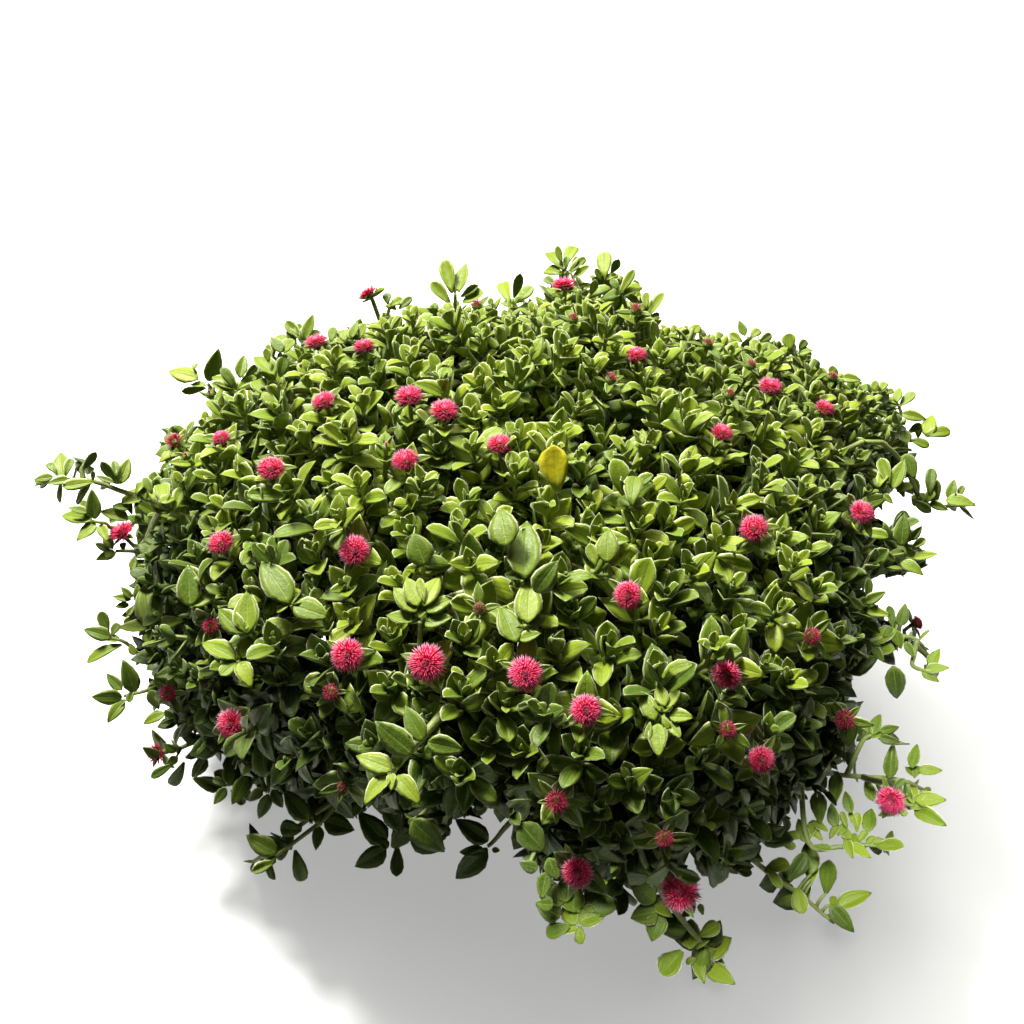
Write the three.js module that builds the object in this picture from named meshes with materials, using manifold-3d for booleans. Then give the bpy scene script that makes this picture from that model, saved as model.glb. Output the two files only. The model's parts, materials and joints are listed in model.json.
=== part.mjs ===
// Potted heartleaf ice plant (Mesembryanthemum cordifolium) in a low clay pot.
// Millimetres, +Z up. Origin: centre of the pot's base, on the surface it stands on.
// The front of the plant faces -Y: its mound leans out over the front rim.
import * as THREE from 'three';
import { mergeVertices } from 'three/addons/utils/BufferGeometryUtils.js';
import Module from 'manifold-3d';

const wasm = await Module();
wasm.setup();

// ---------------------------------------------------------------- dimensions
const POT_HEIGHT = 125;
const POT_BASE_R = 84;        // outer radius on the ground
const POT_NECK_R = 113;       // outer radius under the rim band
const POT_RIM_R = 124;        // outer radius of the rolled rim
const POT_RIM_BAND = 24;      // height of the rim band
const POT_WALL = 7;
const POT_FLOOR = 8;
const DRAIN_HOLE_R = 6;
const DRAIN_HOLE_AT = 46;     // distance of the three drain holes from the middle
const SOIL_TOP = 104;         // level of the potting soil, at the wall
const SOIL_CROWN = 4;         // the soil rises this much towards the middle
const GAP = 0.3;              // clearance between pieces that touch
const CROWN_R = 15;           // woody crown that all main stems grow from
const CROWN_TOP = 123;
const MAIN_STEM_R = 4.2;      // at the crown
const MAIN_STEM_TIP_R = 2.7;
const LIMB_R = 2.5;
const TWIG_R = 2.1;
const TWIG_TIP_R = 1.5;
const LEAF_LENGTH = 30;
const LEAF_WIDTH = 22;
const LEAF_THICK = 3.0;
const FLOWER_R = 9.2;         // flowers measure 18 to 19 mm across
const FLOOR_CLEAR = 1.2;      // nothing of the foliage reaches lower than this

// ---------------------------------------------------------------- the mound
// Outline of the foliage: a flattened dome about MOUND, radius by direction.
const MOUND = [0, -42, 152];
const SEMI = { x: 232, y: 205, up: 152, down: 150, power: 2.7 };
const SHAPE = [0.039, 0.004, -0.008, 0.044, 0.042, 0.003, 0.029, 0.008, -0.045, 0.041, -0.021, 0.0, -0.073, 0.081];
// local swellings and dents: direction, amount
const BUMPS = [
  [0.994, -0.094, 0.05, 0.092], [0.934, -0.356, -0.038, -0.114], [0.794, -0.593, -0.133, 0.093],
  [0.613, -0.759, -0.218, -0.162], [0.437, -0.859, -0.266, 0.152], [0.225, -0.921, -0.317, 0.043],
  [0.02, -0.928, -0.372, -0.26], [-0.203, -0.908, -0.367, -0.26], [-0.456, -0.794, -0.402, -0.256],
  [-0.688, -0.59, -0.424, 0.125], [-0.857, -0.34, -0.387, -0.062], [-0.966, -0.174, -0.192, 0.054],
  [-0.997, -0.07, 0.022, -0.056], [-0.982, 0.06, 0.181, 0.033], [-0.891, 0.249, 0.38, 0.007],
  [-0.751, 0.348, 0.561, 0.008], [-0.541, 0.424, 0.726, -0.024], [-0.302, 0.517, 0.801, 0.023],
  [0.02, 0.574, 0.818, -0.087], [0.303, 0.621, 0.723, 0.134], [0.548, 0.616, 0.565, -0.12],
  [0.751, 0.487, 0.446, -0.041], [0.89, 0.35, 0.292, 0.112], [0.976, 0.138, 0.171, -0.053],
];
const BUMP_WIDTH = 11;        // degrees

// Leafy branches: name, azimuth (0 = +X, 270 = front), elevation about MOUND, in degrees.
const BRANCHES = [
  ['top_branch_01', 80, 84],
  ['top_branch_02', 270, 50], ['top_branch_03', 326, 50], ['top_branch_04', 24, 50],
  ['top_branch_05', 90, 50], ['top_branch_06', 156, 50], ['top_branch_07', 214, 50],
  ['side_branch_01', 250, 16], ['side_branch_02', 290, 16], ['side_branch_03', 330, 16],
  ['side_branch_04', 10, 16], ['side_branch_05', 50, 16], ['side_branch_06', 90, 16],
  ['side_branch_07', 130, 16], ['side_branch_08', 170, 16], ['side_branch_09', 210, 16],
  ['hanging_branch_01', 270, -18], ['hanging_branch_02', 305, -19], ['hanging_branch_03', 339, -20],
  ['hanging_branch_04', 13, -18], ['hanging_branch_05', 48, -8], ['hanging_branch_06', 90, -6],
  ['hanging_branch_07', 132, -8], ['hanging_branch_08', 167, -18], ['hanging_branch_09', 201, -20],
  ['hanging_branch_10', 235, -19],
  ['low_branch_01', 243, -46], ['low_branch_02', 283, -46], ['low_branch_03', 321, -44],
];
const BRANCH_SPREAD = 37;     // the four shoots of a branch end this far from its middle
const SHOOT_OUT = 7;          // CAD shoots end this far inside the outline
// Main stems: azimuth and elevation of the place that each one leads to.
const MAIN_STEMS = [[250, 10], [290, 10], [330, 10], [10, 10], [50, 12], [90, 14], [130, 12], [170, 10], [210, 10], [84, 74]];
const MAIN_STEM_REACH = 0.68; // of the mound's radius

// Trailing shoots: route from the inside of the foliage to the tip.
const TRAILS = [
  ['trailing_stem_01', [[-150, -72, 205], [-178, -75, 222], [-197, -76, 235], [-212, -76, 242], [-230, -76, 250], [-253, -76, 247]]],
  ['trailing_stem_02', [[165, -28, 215], [207, -20, 236], [231, -20, 217], [248, -20, 190], [274, -20, 189]]],
  ['trailing_stem_03', [[150, -100, 140], [194, -97, 146], [214, -95, 151], [232, -96, 150], [250, -95, 122]]],
  ['trailing_stem_04', [[120, -150, 112], [161, -150, 108], [184, -152, 99], [222, -150, 92], [246, -150, 74]]],
  ['trailing_stem_05', [[96, -190, 118], [122, -196, 92], [146, -190, 58], [168, -184, 30], [184, -186, 13], [199, -198, 10]]],
  ['trailing_stem_06', [[66, -214, 110], [84, -222, 78], [100, -218, 44], [111, -209, 18], [117, -212, 10], [121, -223, 10]]],
  ['trailing_stem_07', [[-82, -160, 105], [-105, -172, 94], [-126, -178, 78], [-146, -180, 58], [-164, -176, 44]]],
  ['trailing_stem_08', [[-28, -150, 78], [-36, -160, 56], [-30, -166, 42], [-14, -162, 48], [-4, -158, 60]]],
];
const TRAIL_R = 2.1;
const TRAIL_TIP_R = 1.5;

// The ten largest open flowers: centre, measured where the petals spread.
const FLOWERS = [
  ['flower_01', [-39, -206, 238]], ['flower_02', [-78, -189, 227]], ['flower_03', [6, -218, 243]],
  ['flower_04', [-76, -148, 260]], ['flower_05', [54, -184, 262]], ['flower_06', [99, -209, 235]],
  ['flower_07', [33, -232, 234]], ['flower_08', [-146, -172, 160]], ['flower_09', [30, -270, 166]],
  ['flower_10', [84, -243, 112]],
];

// ---------------------------------------------------------------- colours
const mat = (hex, roughness = 0.6) => new THREE.MeshStandardMaterial({ color: hex, roughness, metalness: 0 });
const CLAY = mat(0xb4643f, 0.85), SOIL = mat(0x3b2a1e, 0.95), BARK = mat(0x7a6443, 0.8);
const STEM = mat(0x7f9150, 0.55), LEAF = mat(0x7b8f33, 0.5), LEAF_LOW = mat(0x566b25, 0.5), PETAL = mat(0xc21f4e, 0.55);

// ---------------------------------------------------------------- solids
function toManifold(positions, triangles) {
  return new wasm.Manifold(new wasm.Mesh({
    numProp: 3, vertProperties: new Float32Array(positions), triVerts: new Uint32Array(triangles),
  }));
}
function fromGeometry(geometry) {
  const g = geometry.clone();
  g.deleteAttribute('normal'); g.deleteAttribute('uv');
  const m = mergeVertices(g, 1e-4);
  return toManifold(m.attributes.position.array, m.index.array);
}
const V = (x, y, z) => new THREE.Vector3(x, y, z);
const rad = (deg) => deg * Math.PI / 180;

// Closed tapering tube along points, flat ends.
function tube(points, r0, r1, sides, grow = 0) {
  const n = points.length, pos = [], tri = [];
  let side = null;
  for (let i = 0; i < n; i++) {
    const t = points[Math.min(i + 1, n - 1)].clone().sub(points[Math.max(i - 1, 0)]).normalize();
    if (!side) side = (Math.abs(t.z) < 0.9 ? V(0, 0, 1) : V(1, 0, 0)).cross(t).normalize();
    side.sub(t.clone().multiplyScalar(side.dot(t))).normalize();
    const up = t.clone().cross(side);
    const r = r0 + (r1 - r0) * i / (n - 1) + grow;
    for (let k = 0; k < sides; k++) {
      const a = 2 * Math.PI * k / sides;
      const p = points[i].clone().addScaledVector(side, r * Math.cos(a)).addScaledVector(up, r * Math.sin(a));
      pos.push(p.x, p.y, p.z);
    }
  }
  const a = points[0], b = points[n - 1];
  pos.push(a.x, a.y, a.z, b.x, b.y, b.z);
  const A = n * sides, B = A + 1;
  for (let i = 0; i < n - 1; i++) for (let k = 0; k < sides; k++) {
    const k2 = (k + 1) % sides, p = i * sides + k, q = i * sides + k2;
    tri.push(p, q, q + sides, p, q + sides, p + sides);
  }
  for (let k = 0; k < sides; k++) {
    const k2 = (k + 1) % sides;
    tri.push(A, k2, k, B, (n - 1) * sides + k, (n - 1) * sides + k2);
  }
  return toManifold(pos, tri);
}

// Space that a leaf takes up, a little larger than the leaf all round.
function leafRoom(base, d, w, u, length, width, thick, grow) {
  const at = (x, y, z) => base.clone().addScaledVector(d, x).addScaledVector(w, y).addScaledVector(u, z);
  const top = thick * 0.6 + grow, low = -thick * 0.5 - grow;
  const P = [at(0, 0, -0.5), at(length * 0.45, -width / 2 - grow, top), at(length * 0.45, width / 2 + grow, top),
    at(length * 0.42, 0, low), at(length + 2 * grow, 0, -thick * 0.3), at(0.5, 0, 1.5 + grow), at(length * 0.8, 0, thick * 0.3 + grow)];
  const pos = P.flatMap((p) => [p.x, p.y, p.z]);
  const tri = [0, 5, 1, 0, 2, 5, 5, 2, 1, 0, 1, 3, 0, 3, 2, 1, 2, 6, 1, 6, 4, 6, 2, 4, 4, 3, 1, 2, 3, 4];
  let m = toManifold(pos, tri);
  if (m.volume() < 0) m = toManifold(pos, tri.map((_, i) => tri[i - i % 3 + [0, 2, 1][i % 3]]));
  return m;
}

function lathe(profile, segments) {
  return fromGeometry(new THREE.LatheGeometry(profile.map(([r, z]) => new THREE.Vector2(r, z)), segments)
    .rotateX(Math.PI / 2));
}

// ---------------------------------------------------------------- the mound's outline
const bumpDirs = BUMPS.map(([x, y, z, a]) => [V(x, y, z).normalize(), a]);
function moundRadius(d) {
  const { x, y, z } = d;
  const h = (x / SEMI.x) ** 2 + (y / SEMI.y) ** 2;
  let r = z > 0 ? 1 / Math.sqrt(h + (z / SEMI.up) ** 2)
    : 1 / (h ** (SEMI.power / 2) + (-z / SEMI.down) ** SEMI.power) ** (1 / SEMI.power);
  const terms = [x, y, z, x * y, x * z, y * z, x * x - y * y, 3 * z * z - 1, x * (5 * z * z - 1),
    y * (5 * z * z - 1), z * (x * x - y * y), x * y * z, x * (x * x - 3 * y * y), y * (3 * x * x - y * y)];
  r *= 1 + terms.reduce((sum, t, i) => sum + t * SHAPE[i], 0);
  const w = 2 * rad(BUMP_WIDTH) ** 2;
  let b = 0;
  for (const [v, a] of bumpDirs) b += a * Math.exp(-(Math.acos(Math.min(1, Math.max(-1, v.dot(d)))) ** 2) / w);
  return r * (1 + b);
}
const centre = V(...MOUND);
const direction = (az, el) => V(Math.cos(rad(el)) * Math.cos(rad(az)), Math.cos(rad(el)) * Math.sin(rad(az)), Math.sin(rad(el)));
const onMound = (d, k = 1, less = 0) => centre.clone().addScaledVector(d, moundRadius(d) * k - less);
const bezier = (p, t) => {
  const s = 1 - t;
  return p[0].clone().multiplyScalar(s * s * s).addScaledVector(p[1], 3 * s * s * t)
    .addScaledVector(p[2], 3 * s * t * t).addScaledVector(p[3], t * t * t);
};
const sample = (p, t0, t1, n) => Array.from({ length: n + 1 }, (_, i) => bezier(p, t0 + (t1 - t0) * i / n));

// ---------------------------------------------------------------- bookkeeping
const plant = new THREE.Group();
const placed = [];            // every finished solid, to keep the next one clear of it
function boxOf(m) { const b = m.boundingBox(); return [b.min, b.max]; }
function boxesMeet(a, b) {
  for (let i = 0; i < 3; i++) if (a[0][i] > b[1][i] || b[0][i] > a[1][i]) return false;
  return true;
}
const reserved = [];          // room kept for the flower stalks, each for the branch that carries it
function clear(m, owner = '') {
  const b = boxOf(m);
  if (b[0][2] < FLOOR_CLEAR) return false;
  for (const p of [...placed, ...reserved]) {
    if (p.owner && p.owner === owner) continue;
    if (boxesMeet(b, p.box) && m.intersect(p.solid).volume() > 1e-6) return false;
  }
  return true;
}
function finish(name, solid, material) {
  const bodies = solid.decompose().sort((p, q) => q.volume() - p.volume());
  const body = bodies[0].simplify(0.1);
  placed.push({ solid: body, box: boxOf(body) });
  const m = body.getMesh();
  const g = new THREE.BufferGeometry();
  g.setAttribute('position', new THREE.Float32BufferAttribute(m.vertProperties, 3));
  g.setIndex(new THREE.Uint32BufferAttribute(m.triVerts, 1));
  g.computeVertexNormals();
  const mesh = new THREE.Mesh(g, material);
  mesh.name = name;
  plant.add(mesh);
  return body;
}
const unite = (list) => list.reduce((a, b) => a.add(b));

// ---------------------------------------------------------------- pot
{
  const h = POT_HEIGHT, w = POT_WALL, nr = POT_NECK_R, rb = h - POT_RIM_BAND;
  const outer = (z) => POT_BASE_R + (nr - POT_BASE_R) * z / rb;
  const profile = [
    [0, 0], [POT_BASE_R - 3, 0], [POT_BASE_R, 3], [outer(rb / 2), rb / 2], [nr, rb], [POT_RIM_R - 3, rb + 1.5],
    [POT_RIM_R, rb + 6], [POT_RIM_R, h - 5], [POT_RIM_R - 3.5, h], [POT_RIM_R - 8, h], [POT_RIM_R - 11, h - 4],
    [nr - w, rb], [outer(rb / 2) - w, rb / 2], [outer(POT_FLOOR) - w - 2, POT_FLOOR + 2], [outer(POT_FLOOR) - w - 6, POT_FLOOR], [0, POT_FLOOR],
  ];
  let pot = lathe(profile, 30);
  for (let k = 0; k < 3; k++) {
    const hole = fromGeometry(new THREE.CylinderGeometry(DRAIN_HOLE_R, DRAIN_HOLE_R, POT_FLOOR + 6, 10)
      .rotateX(Math.PI / 2)
      .translate(DRAIN_HOLE_AT * Math.cos(rad(30 + 120 * k)), DRAIN_HOLE_AT * Math.sin(rad(30 + 120 * k)), POT_FLOOR / 2));
    pot = pot.subtract(hole);
  }
  finish('pot', pot, CLAY);
}

// ---------------------------------------------------------------- woody crown with its thick roots
const crownShape = (grow) => {
  const knob = lathe([[0, 84 - grow], [9 + grow, 88], [13.5 + grow, 98], [CROWN_R + grow, 108], [CROWN_R - 2 + grow, 117],
    [8 + grow, CROWN_TOP - 1 + grow], [0, CROWN_TOP + grow]], 10);
  const roots = [20, 95, 160, 235, 305].map((az, i) => {
    const c = Math.cos(rad(az)), s = Math.sin(rad(az)), reach = [62, 55, 66, 58, 60][i], deep = [38, 30, 46, 34, 42][i];
    return tube([V(3 * c, 3 * s, 97), V(20 * c, 20 * s, 88), V(reach * 0.7 * c, reach * 0.7 * s, 68 + 4 * (i % 2)), V(reach * c, reach * s, deep)],
      5.5, 1.6, 5, grow);
  });
  return unite([knob, ...roots]);
};
const crown = crownShape(0);

// ---------------------------------------------------------------- soil
{
  const w = POT_WALL + GAP, rb = POT_HEIGHT - POT_RIM_BAND;
  const outer = (z) => POT_BASE_R + (POT_NECK_R - POT_BASE_R) * z / rb;
  const profile = [
    [0, POT_FLOOR + GAP], [outer(POT_FLOOR) - w - 7, POT_FLOOR + GAP], [outer(POT_FLOOR) - w - 2.6, POT_FLOOR + 2.6],
    [outer(rb / 2) - w - 0.4, rb / 2], [POT_NECK_R - w - 0.4, rb], [POT_NECK_R - w - 0.2, SOIL_TOP],
    [60, SOIL_TOP + 1.5], [22, SOIL_TOP + SOIL_CROWN], [0, SOIL_TOP + SOIL_CROWN],
  ];
  finish('potting_soil', lathe(profile, 24).subtract(crownShape(GAP)), SOIL);
}
finish('root_crown', crown, BARK);

// ---------------------------------------------------------------- main stems
const mains = MAIN_STEMS.map(([az, el], i) => {
  const end = onMound(direction(az, el), MAIN_STEM_REACH);
  const phi = Math.atan2(end.y, end.x), c = Math.cos(phi), s = Math.sin(phi);
  const start = V(9 * c, 9 * s, 112);
  const out = end.clone().sub(centre).setZ(0).normalize();
  const high = i === MAIN_STEMS.length - 1;
  const curve = high
    ? [V(0, 0, 116), V(2, 4, 150), end.clone().add(V(0, 6, -45)), end]
    : [start, V(26 * c, 26 * s, 158), end.clone().addScaledVector(out, -55).add(V(0, 0, 14)), end];
  let t0 = high ? 0.04 : 0.05, solid = null;
  for (; t0 < 0.5; t0 += 0.01) {
    const grown = tube(sample(curve, t0, 1, 5), MAIN_STEM_R, MAIN_STEM_TIP_R, 5, GAP);
    if (clear(grown)) { solid = tube(sample(curve, t0, 1, 5), MAIN_STEM_R, MAIN_STEM_TIP_R, 5); break; }
  }
  finish(`main_stem_${String(i + 1).padStart(2, '0')}`, solid, STEM);
  return { curve, az, el };
});

// A square twig along points. Its leaves grow straight out of its sides in opposite
// pairs, each pair crossing the one below. A pair is [distance from tip, scale, opening].
// A leaf that would touch another piece is left off.
const NODE_HALF = 1.7;
function leafyTwig(points, r0, r1, pairs, spin, size, owner = '') {
  const n = points.length, along = [0];
  for (let i = 1; i < n; i++) along.push(along[i - 1] + points[i].distanceTo(points[i - 1]));
  const total = along[n - 1];
  const nodes = pairs.map(([back, scale, open]) => [total - back, scale, open]).filter((q) => q[0] > 8).sort((p, q) => p[0] - q[0]);
  let stations = along.map((v) => [v, null]).filter(([v]) => nodes.every(([c]) => Math.abs(v - c) > NODE_HALF + 1.5));
  nodes.forEach((q, j) => stations.push([q[0] - NODE_HALF, j], [q[0] + NODE_HALF, null]));
  stations.sort((p, q) => p[0] - q[0]);
  const at = (v) => {
    let i = 1; while (i < n - 1 && along[i] < v) i++;
    return points[i - 1].clone().lerp(points[i], (v - along[i - 1]) / (along[i] - along[i - 1]));
  };
  const pos = [], tri = [], frames = [];
  let side = null;
  for (const [v] of stations) {
    const t = at(Math.min(v + 1.5, total)).sub(at(Math.max(v - 1.5, 0))).normalize();
    if (!side) side = (Math.abs(t.z) < 0.9 ? V(0, 0, 1) : V(1, 0, 0)).cross(t).normalize().applyAxisAngle(t, spin);
    side = side.clone().sub(t.clone().multiplyScalar(side.dot(t))).normalize();
    const up = t.clone().cross(side), p = at(v), r = (r0 + (r1 - r0) * v / total) * 1.25;
    frames.push({ p, t, side, up });
    for (let k = 0; k < 4; k++) {
      const a = Math.PI / 2 * k - Math.PI / 4;
      const q = p.clone().addScaledVector(side, r * Math.cos(a)).addScaledVector(up, r * Math.sin(a));
      pos.push(q.x, q.y, q.z);
    }
  }
  const m = stations.length;
  for (let i = 0; i < m - 1; i++) for (let k = 0; k < 4; k++) {
    const a0 = i * 4 + k, a1 = i * 4 + (k + 1) % 4, a2 = a1 + 4, a3 = a0 + 4, j = stations[i][1];
    let grows = false;
    if (j !== null && k % 2 === j % 2) {
      const { t, side: sd, up } = frames[i];
      const p = frames[i].p.clone().lerp(frames[i + 1].p, 0.5);
      const away = (k % 2 ? up : sd).clone().multiplyScalar(k < 2 ? 1 : -1);
      const [, scale, open] = nodes[j];
      const dir = t.clone().multiplyScalar(Math.cos(rad(open))).addScaledVector(away, Math.sin(rad(open)));
      const w = t.clone().cross(away), u = w.clone().cross(dir).multiplyScalar(-1);
      if (u.dot(t) < 0) u.multiplyScalar(-1);
      const L = LEAF_LENGTH * scale * size, W = LEAF_WIDTH * scale * size, T = LEAF_THICK * (0.6 + 0.4 * scale);
      const grown = leafRoom(p.clone().addScaledVector(dir, 1.2), dir, w, u, L - 1.2, W, T, 0.6);
      const stalk = tube([p, p.clone().addScaledVector(dir, 0.3 * L)], 3.4, 4.2, 6);
      if (clear(grown, owner) && clear(stalk, owner)) {
        grows = true;
        const l = pos.length / 3;
        for (const q of [
          p.clone().addScaledVector(dir, 0.45 * L).addScaledVector(w, -W / 2).addScaledVector(u, T * 0.6),
          p.clone().addScaledVector(dir, 0.45 * L).addScaledVector(w, W / 2).addScaledVector(u, T * 0.6),
          p.clone().addScaledVector(dir, 0.42 * L).addScaledVector(u, -T * 0.5),
          p.clone().addScaledVector(dir, L).addScaledVector(u, -T * 0.3)]) pos.push(q.x, q.y, q.z);
        // w runs from a1 to a0 when seen from outside, so left and right are told apart here
        const A0 = V(...pos.slice(a0 * 3, a0 * 3 + 3)), A1 = V(...pos.slice(a1 * 3, a1 * 3 + 3));
        const right = A1.sub(A0).dot(w) > 0;
        const Lf = right ? l : l + 1, Rt = right ? l + 1 : l, K = l + 2, Tp = l + 3;
        tri.push(a0, a1, K, a1, a2, Rt, a1, Rt, K, a2, a3, Lf, a2, Lf, Rt, a3, a0, Lf, a0, K, Lf,
          Rt, Lf, Tp, K, Rt, Tp, Lf, K, Tp);
      }
    }
    if (!grows) tri.push(a0, a1, a2, a0, a2, a3);
  }
  const e = (m - 1) * 4;
  tri.push(0, 2, 1, 0, 3, 2, e, e + 1, e + 2, e, e + 2, e + 3);
  return toManifold(pos, tri);
}

// ---------------------------------------------------------------- flowers
// A green cup on a short stalk with a dish of narrow petals, notched at its edge.
function flowerSolid(at, axis, grow) {
  const steps = 12, R = FLOWER_R + grow;
  const rings = [[-13, 1.6 + grow, 0], [-5, 2.2 + grow, 0], [1.6 + grow, R, 1], [2.6 + grow, R * 0.86, 1]];
  const side = (Math.abs(axis.z) < 0.9 ? V(0, 0, 1) : V(1, 0, 0)).cross(axis).normalize();
  const up = axis.clone().cross(side);
  const pos = [], tri = [];
  rings.forEach(([z, r, fringe]) => {
    for (let k = 0; k < steps; k++) {
      const a = 2 * Math.PI * k / steps, rr = fringe && k % 2 ? r * 0.8 : r;
      const p = at.clone().addScaledVector(axis, z).addScaledVector(side, rr * Math.cos(a)).addScaledVector(up, rr * Math.sin(a));
      pos.push(p.x, p.y, p.z);
    }
  });
  const low = at.clone().addScaledVector(axis, rings[0][0] - grow), high = at.clone().addScaledVector(axis, 0.4 + grow);
  pos.push(low.x, low.y, low.z, high.x, high.y, high.z);
  const n = rings.length, A = n * steps, B = A + 1;
  for (let i = 0; i < n - 1; i++) for (let k = 0; k < steps; k++) {
    const k2 = (k + 1) % steps, p = i * steps + k, q = i * steps + k2;
    tri.push(p, q, q + steps, p, q + steps, p + steps);
  }
  for (let k = 0; k < steps; k++) {
    const k2 = (k + 1) % steps;
    tri.push(A, k2, k, B, (n - 1) * steps + k, (n - 1) * steps + k2);
  }
  let m = toManifold(pos, tri);
  if (m.volume() < 0) m = toManifold(pos, tri.map((_, i) => tri[i - i % 3 + [0, 2, 1][i % 3]]));
  return m;
}
const flowerStalks = [];
FLOWERS.forEach(([name, at]) => {
  const p = V(...at);
  const axis = p.clone().sub(centre).normalize().add(V(0, -0.35, 0.35)).normalize();
  for (let push = 0; push < 30; push += 1) {
    const q = p.clone().addScaledVector(axis, push);
    if (!clear(flowerSolid(q, axis, GAP))) continue;
    finish(name, flowerSolid(q, axis, 0), PETAL);
    flowerStalks.push({ end: q.clone().addScaledVector(axis, -13 - GAP - 0.1), axis, d: q.clone().sub(centre).normalize() });
    break;
  }
});

// ---------------------------------------------------------------- trailing stems
TRAILS.forEach(([name, route], index) => {
  const spline = new THREE.CatmullRomCurve3(route.map((p) => V(...p)), false, 'centripetal');
  let points = null;
  for (let t0 = 0; t0 < 0.6; t0 += 0.04) {
    const list = Array.from({ length: 7 }, (_, i) => spline.getPoint(t0 + (1 - t0) * i / 6));
    if (clear(tube(list, TRAIL_R * 1.3 + GAP, TRAIL_TIP_R * 1.3 + GAP, 6))) { points = list; break; }
  }
  finish(name, leafyTwig(points, TRAIL_R, TRAIL_TIP_R, [[3, 0.7, 40], [15, 0.95, 62], [32, 1, 66], [54, 0.95, 64]], 0.4 + index, 0.9), LEAF);
});

// ---------------------------------------------------------------- leafy branches
// Hanging and low branches start near the end of a main stem and come down outside the pot.
function branchCurve(az, el) {
  const d = direction(az, el);
  // the place where the branch divides, pushed out until it is clear of the pot
  let hub = onMound(d, 0.76);
  for (let k = 0.76; k < 0.9 && hub.z < POT_HEIGHT + 10 && Math.hypot(hub.x, hub.y) < POT_RIM_R + 8; k += 0.02) hub = onMound(d, k);
  let best = null;
  mains.forEach((m, i) => {
    const top = i === mains.length - 1;
    if (top !== (el > 70)) return;
    const gap = Math.abs(((m.az - az) % 360 + 540) % 360 - 180);
    if (!best || gap < best.gap) best = { m, gap };
  });
  const t = el > 70 ? 0.8 : el > 40 ? 0.66 : el > 0 ? 0.93 : el > -30 ? 0.9 : 0.84;
  const a = bezier(best.m.curve, t);
  const lift = el > 40 ? 0.5 : el > 0 ? 0.2 : 0.0;
  const mid = a.clone().lerp(hub, 0.5);
  const outward = mid.clone().sub(V(centre.x, centre.y, mid.z)).setZ(0).normalize();
  const bow = el > 0 ? 4 : el > -30 ? 16 : 26;
  return [a, a.clone().lerp(hub, 0.33).addScaledVector(outward, bow).add(V(0, 0, 14 * lift)),
    a.clone().lerp(hub, 0.7).addScaledVector(outward, bow * 0.8).add(V(0, 0, 10 * lift)), hub];
}
function tangents(d) {
  const side = V(0, 0, 1).cross(d).normalize();
  return [side, d.clone().cross(side)];
}
for (const f of flowerStalks) {
  const near = BRANCHES.slice().sort((p, q) => direction(p[1], p[2]).angleTo(f.d) - direction(q[1], q[2]).angleTo(f.d)).slice(0, 6);
  search: for (const [name, az, el] of near) for (const bend of [0.5, 0.3, 0.7, 0.9]) for (const k of [18, 28, 10]) {
    const hub = branchCurve(az, el)[3];
    const c = [hub.clone().addScaledVector(direction(az, el), -2), hub.clone().lerp(f.end, bend), f.end.clone().addScaledVector(f.axis, -k), f.end];
    const points = sample(c, 0, 1, 4);
    const room = tube(points, TWIG_R * 1.3 + GAP, TWIG_TIP_R * 1.3 + 0.05, 6);
    if (!clear(room)) continue;
    reserved.push({ solid: room, box: boxOf(room), owner: name, points });
    break search;
  }
}
BRANCHES.forEach(([name, az, el], index) => {
  const curve = branchCurve(az, el);
  const d = direction(az, el);
  let limb = null;
  for (let t0 = 0.04; t0 < 0.75; t0 += 0.02) {
    const grown = tube(sample(curve, t0, 1, 3), LIMB_R + GAP, LIMB_R + GAP, 4);
    if (clear(grown, name)) { limb = tube(sample(curve, t0, 1, 3), LIMB_R, LIMB_R, 4); break; }
  }
  const parts = limb ? [limb] : [];
  const hub = curve[3];
  const [side, up] = tangents(d);
  const R = moundRadius(d);
  const turn = rad(45 + 17 * index);
  for (let k = 0; k < 4; k++) {
    const a = turn + k * Math.PI / 2;
    const dk = d.clone().addScaledVector(side, BRANCH_SPREAD * Math.cos(a) / R * 1.15).addScaledVector(up, BRANCH_SPREAD * Math.sin(a) / R).normalize();
    let done = false;
    for (let less = SHOOT_OUT; less < 40 && !done; less += 8) {
      const tip = onMound(dk, 1, less);
      const tipDir = dk.clone().add(V(0, 0, el > 30 ? 0.5 : el > 0 ? 0.25 : -0.1)).normalize();
      const c = [hub.clone().addScaledVector(d, -2), hub.clone().lerp(tip, 0.4), tip.clone().addScaledVector(tipDir, -16), tip];
      const grown = tube(sample(c, 0, 1, 2), TWIG_R * 1.3 + GAP, TWIG_TIP_R * 1.3 + GAP, 6);
      if (!clear(grown, name)) continue;
      parts.push(leafyTwig(sample(c, 0, 1, 2), TWIG_R, TWIG_TIP_R, [[3, 0.78, 38], [15, 1, 62]], 0.7 * k + index, 1, name));
      done = true;
    }
  }
  // the stalks that carry this branch's flowers
  for (const r of reserved) if (r.owner === name) parts.push(leafyTwig(r.points, TWIG_R, TWIG_TIP_R, [[9, 0.8, 58]], index, 1, name));
  finish(name, unite(parts), el > 0 ? LEAF : LEAF_LOW);
});

export default plant;
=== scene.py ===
# Potted heartleaf ice plant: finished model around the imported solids.
# Metres, +Z up, front of the plant towards -Y.
import math, json
import bpy
import numpy as np
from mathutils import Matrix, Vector, noise

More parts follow.
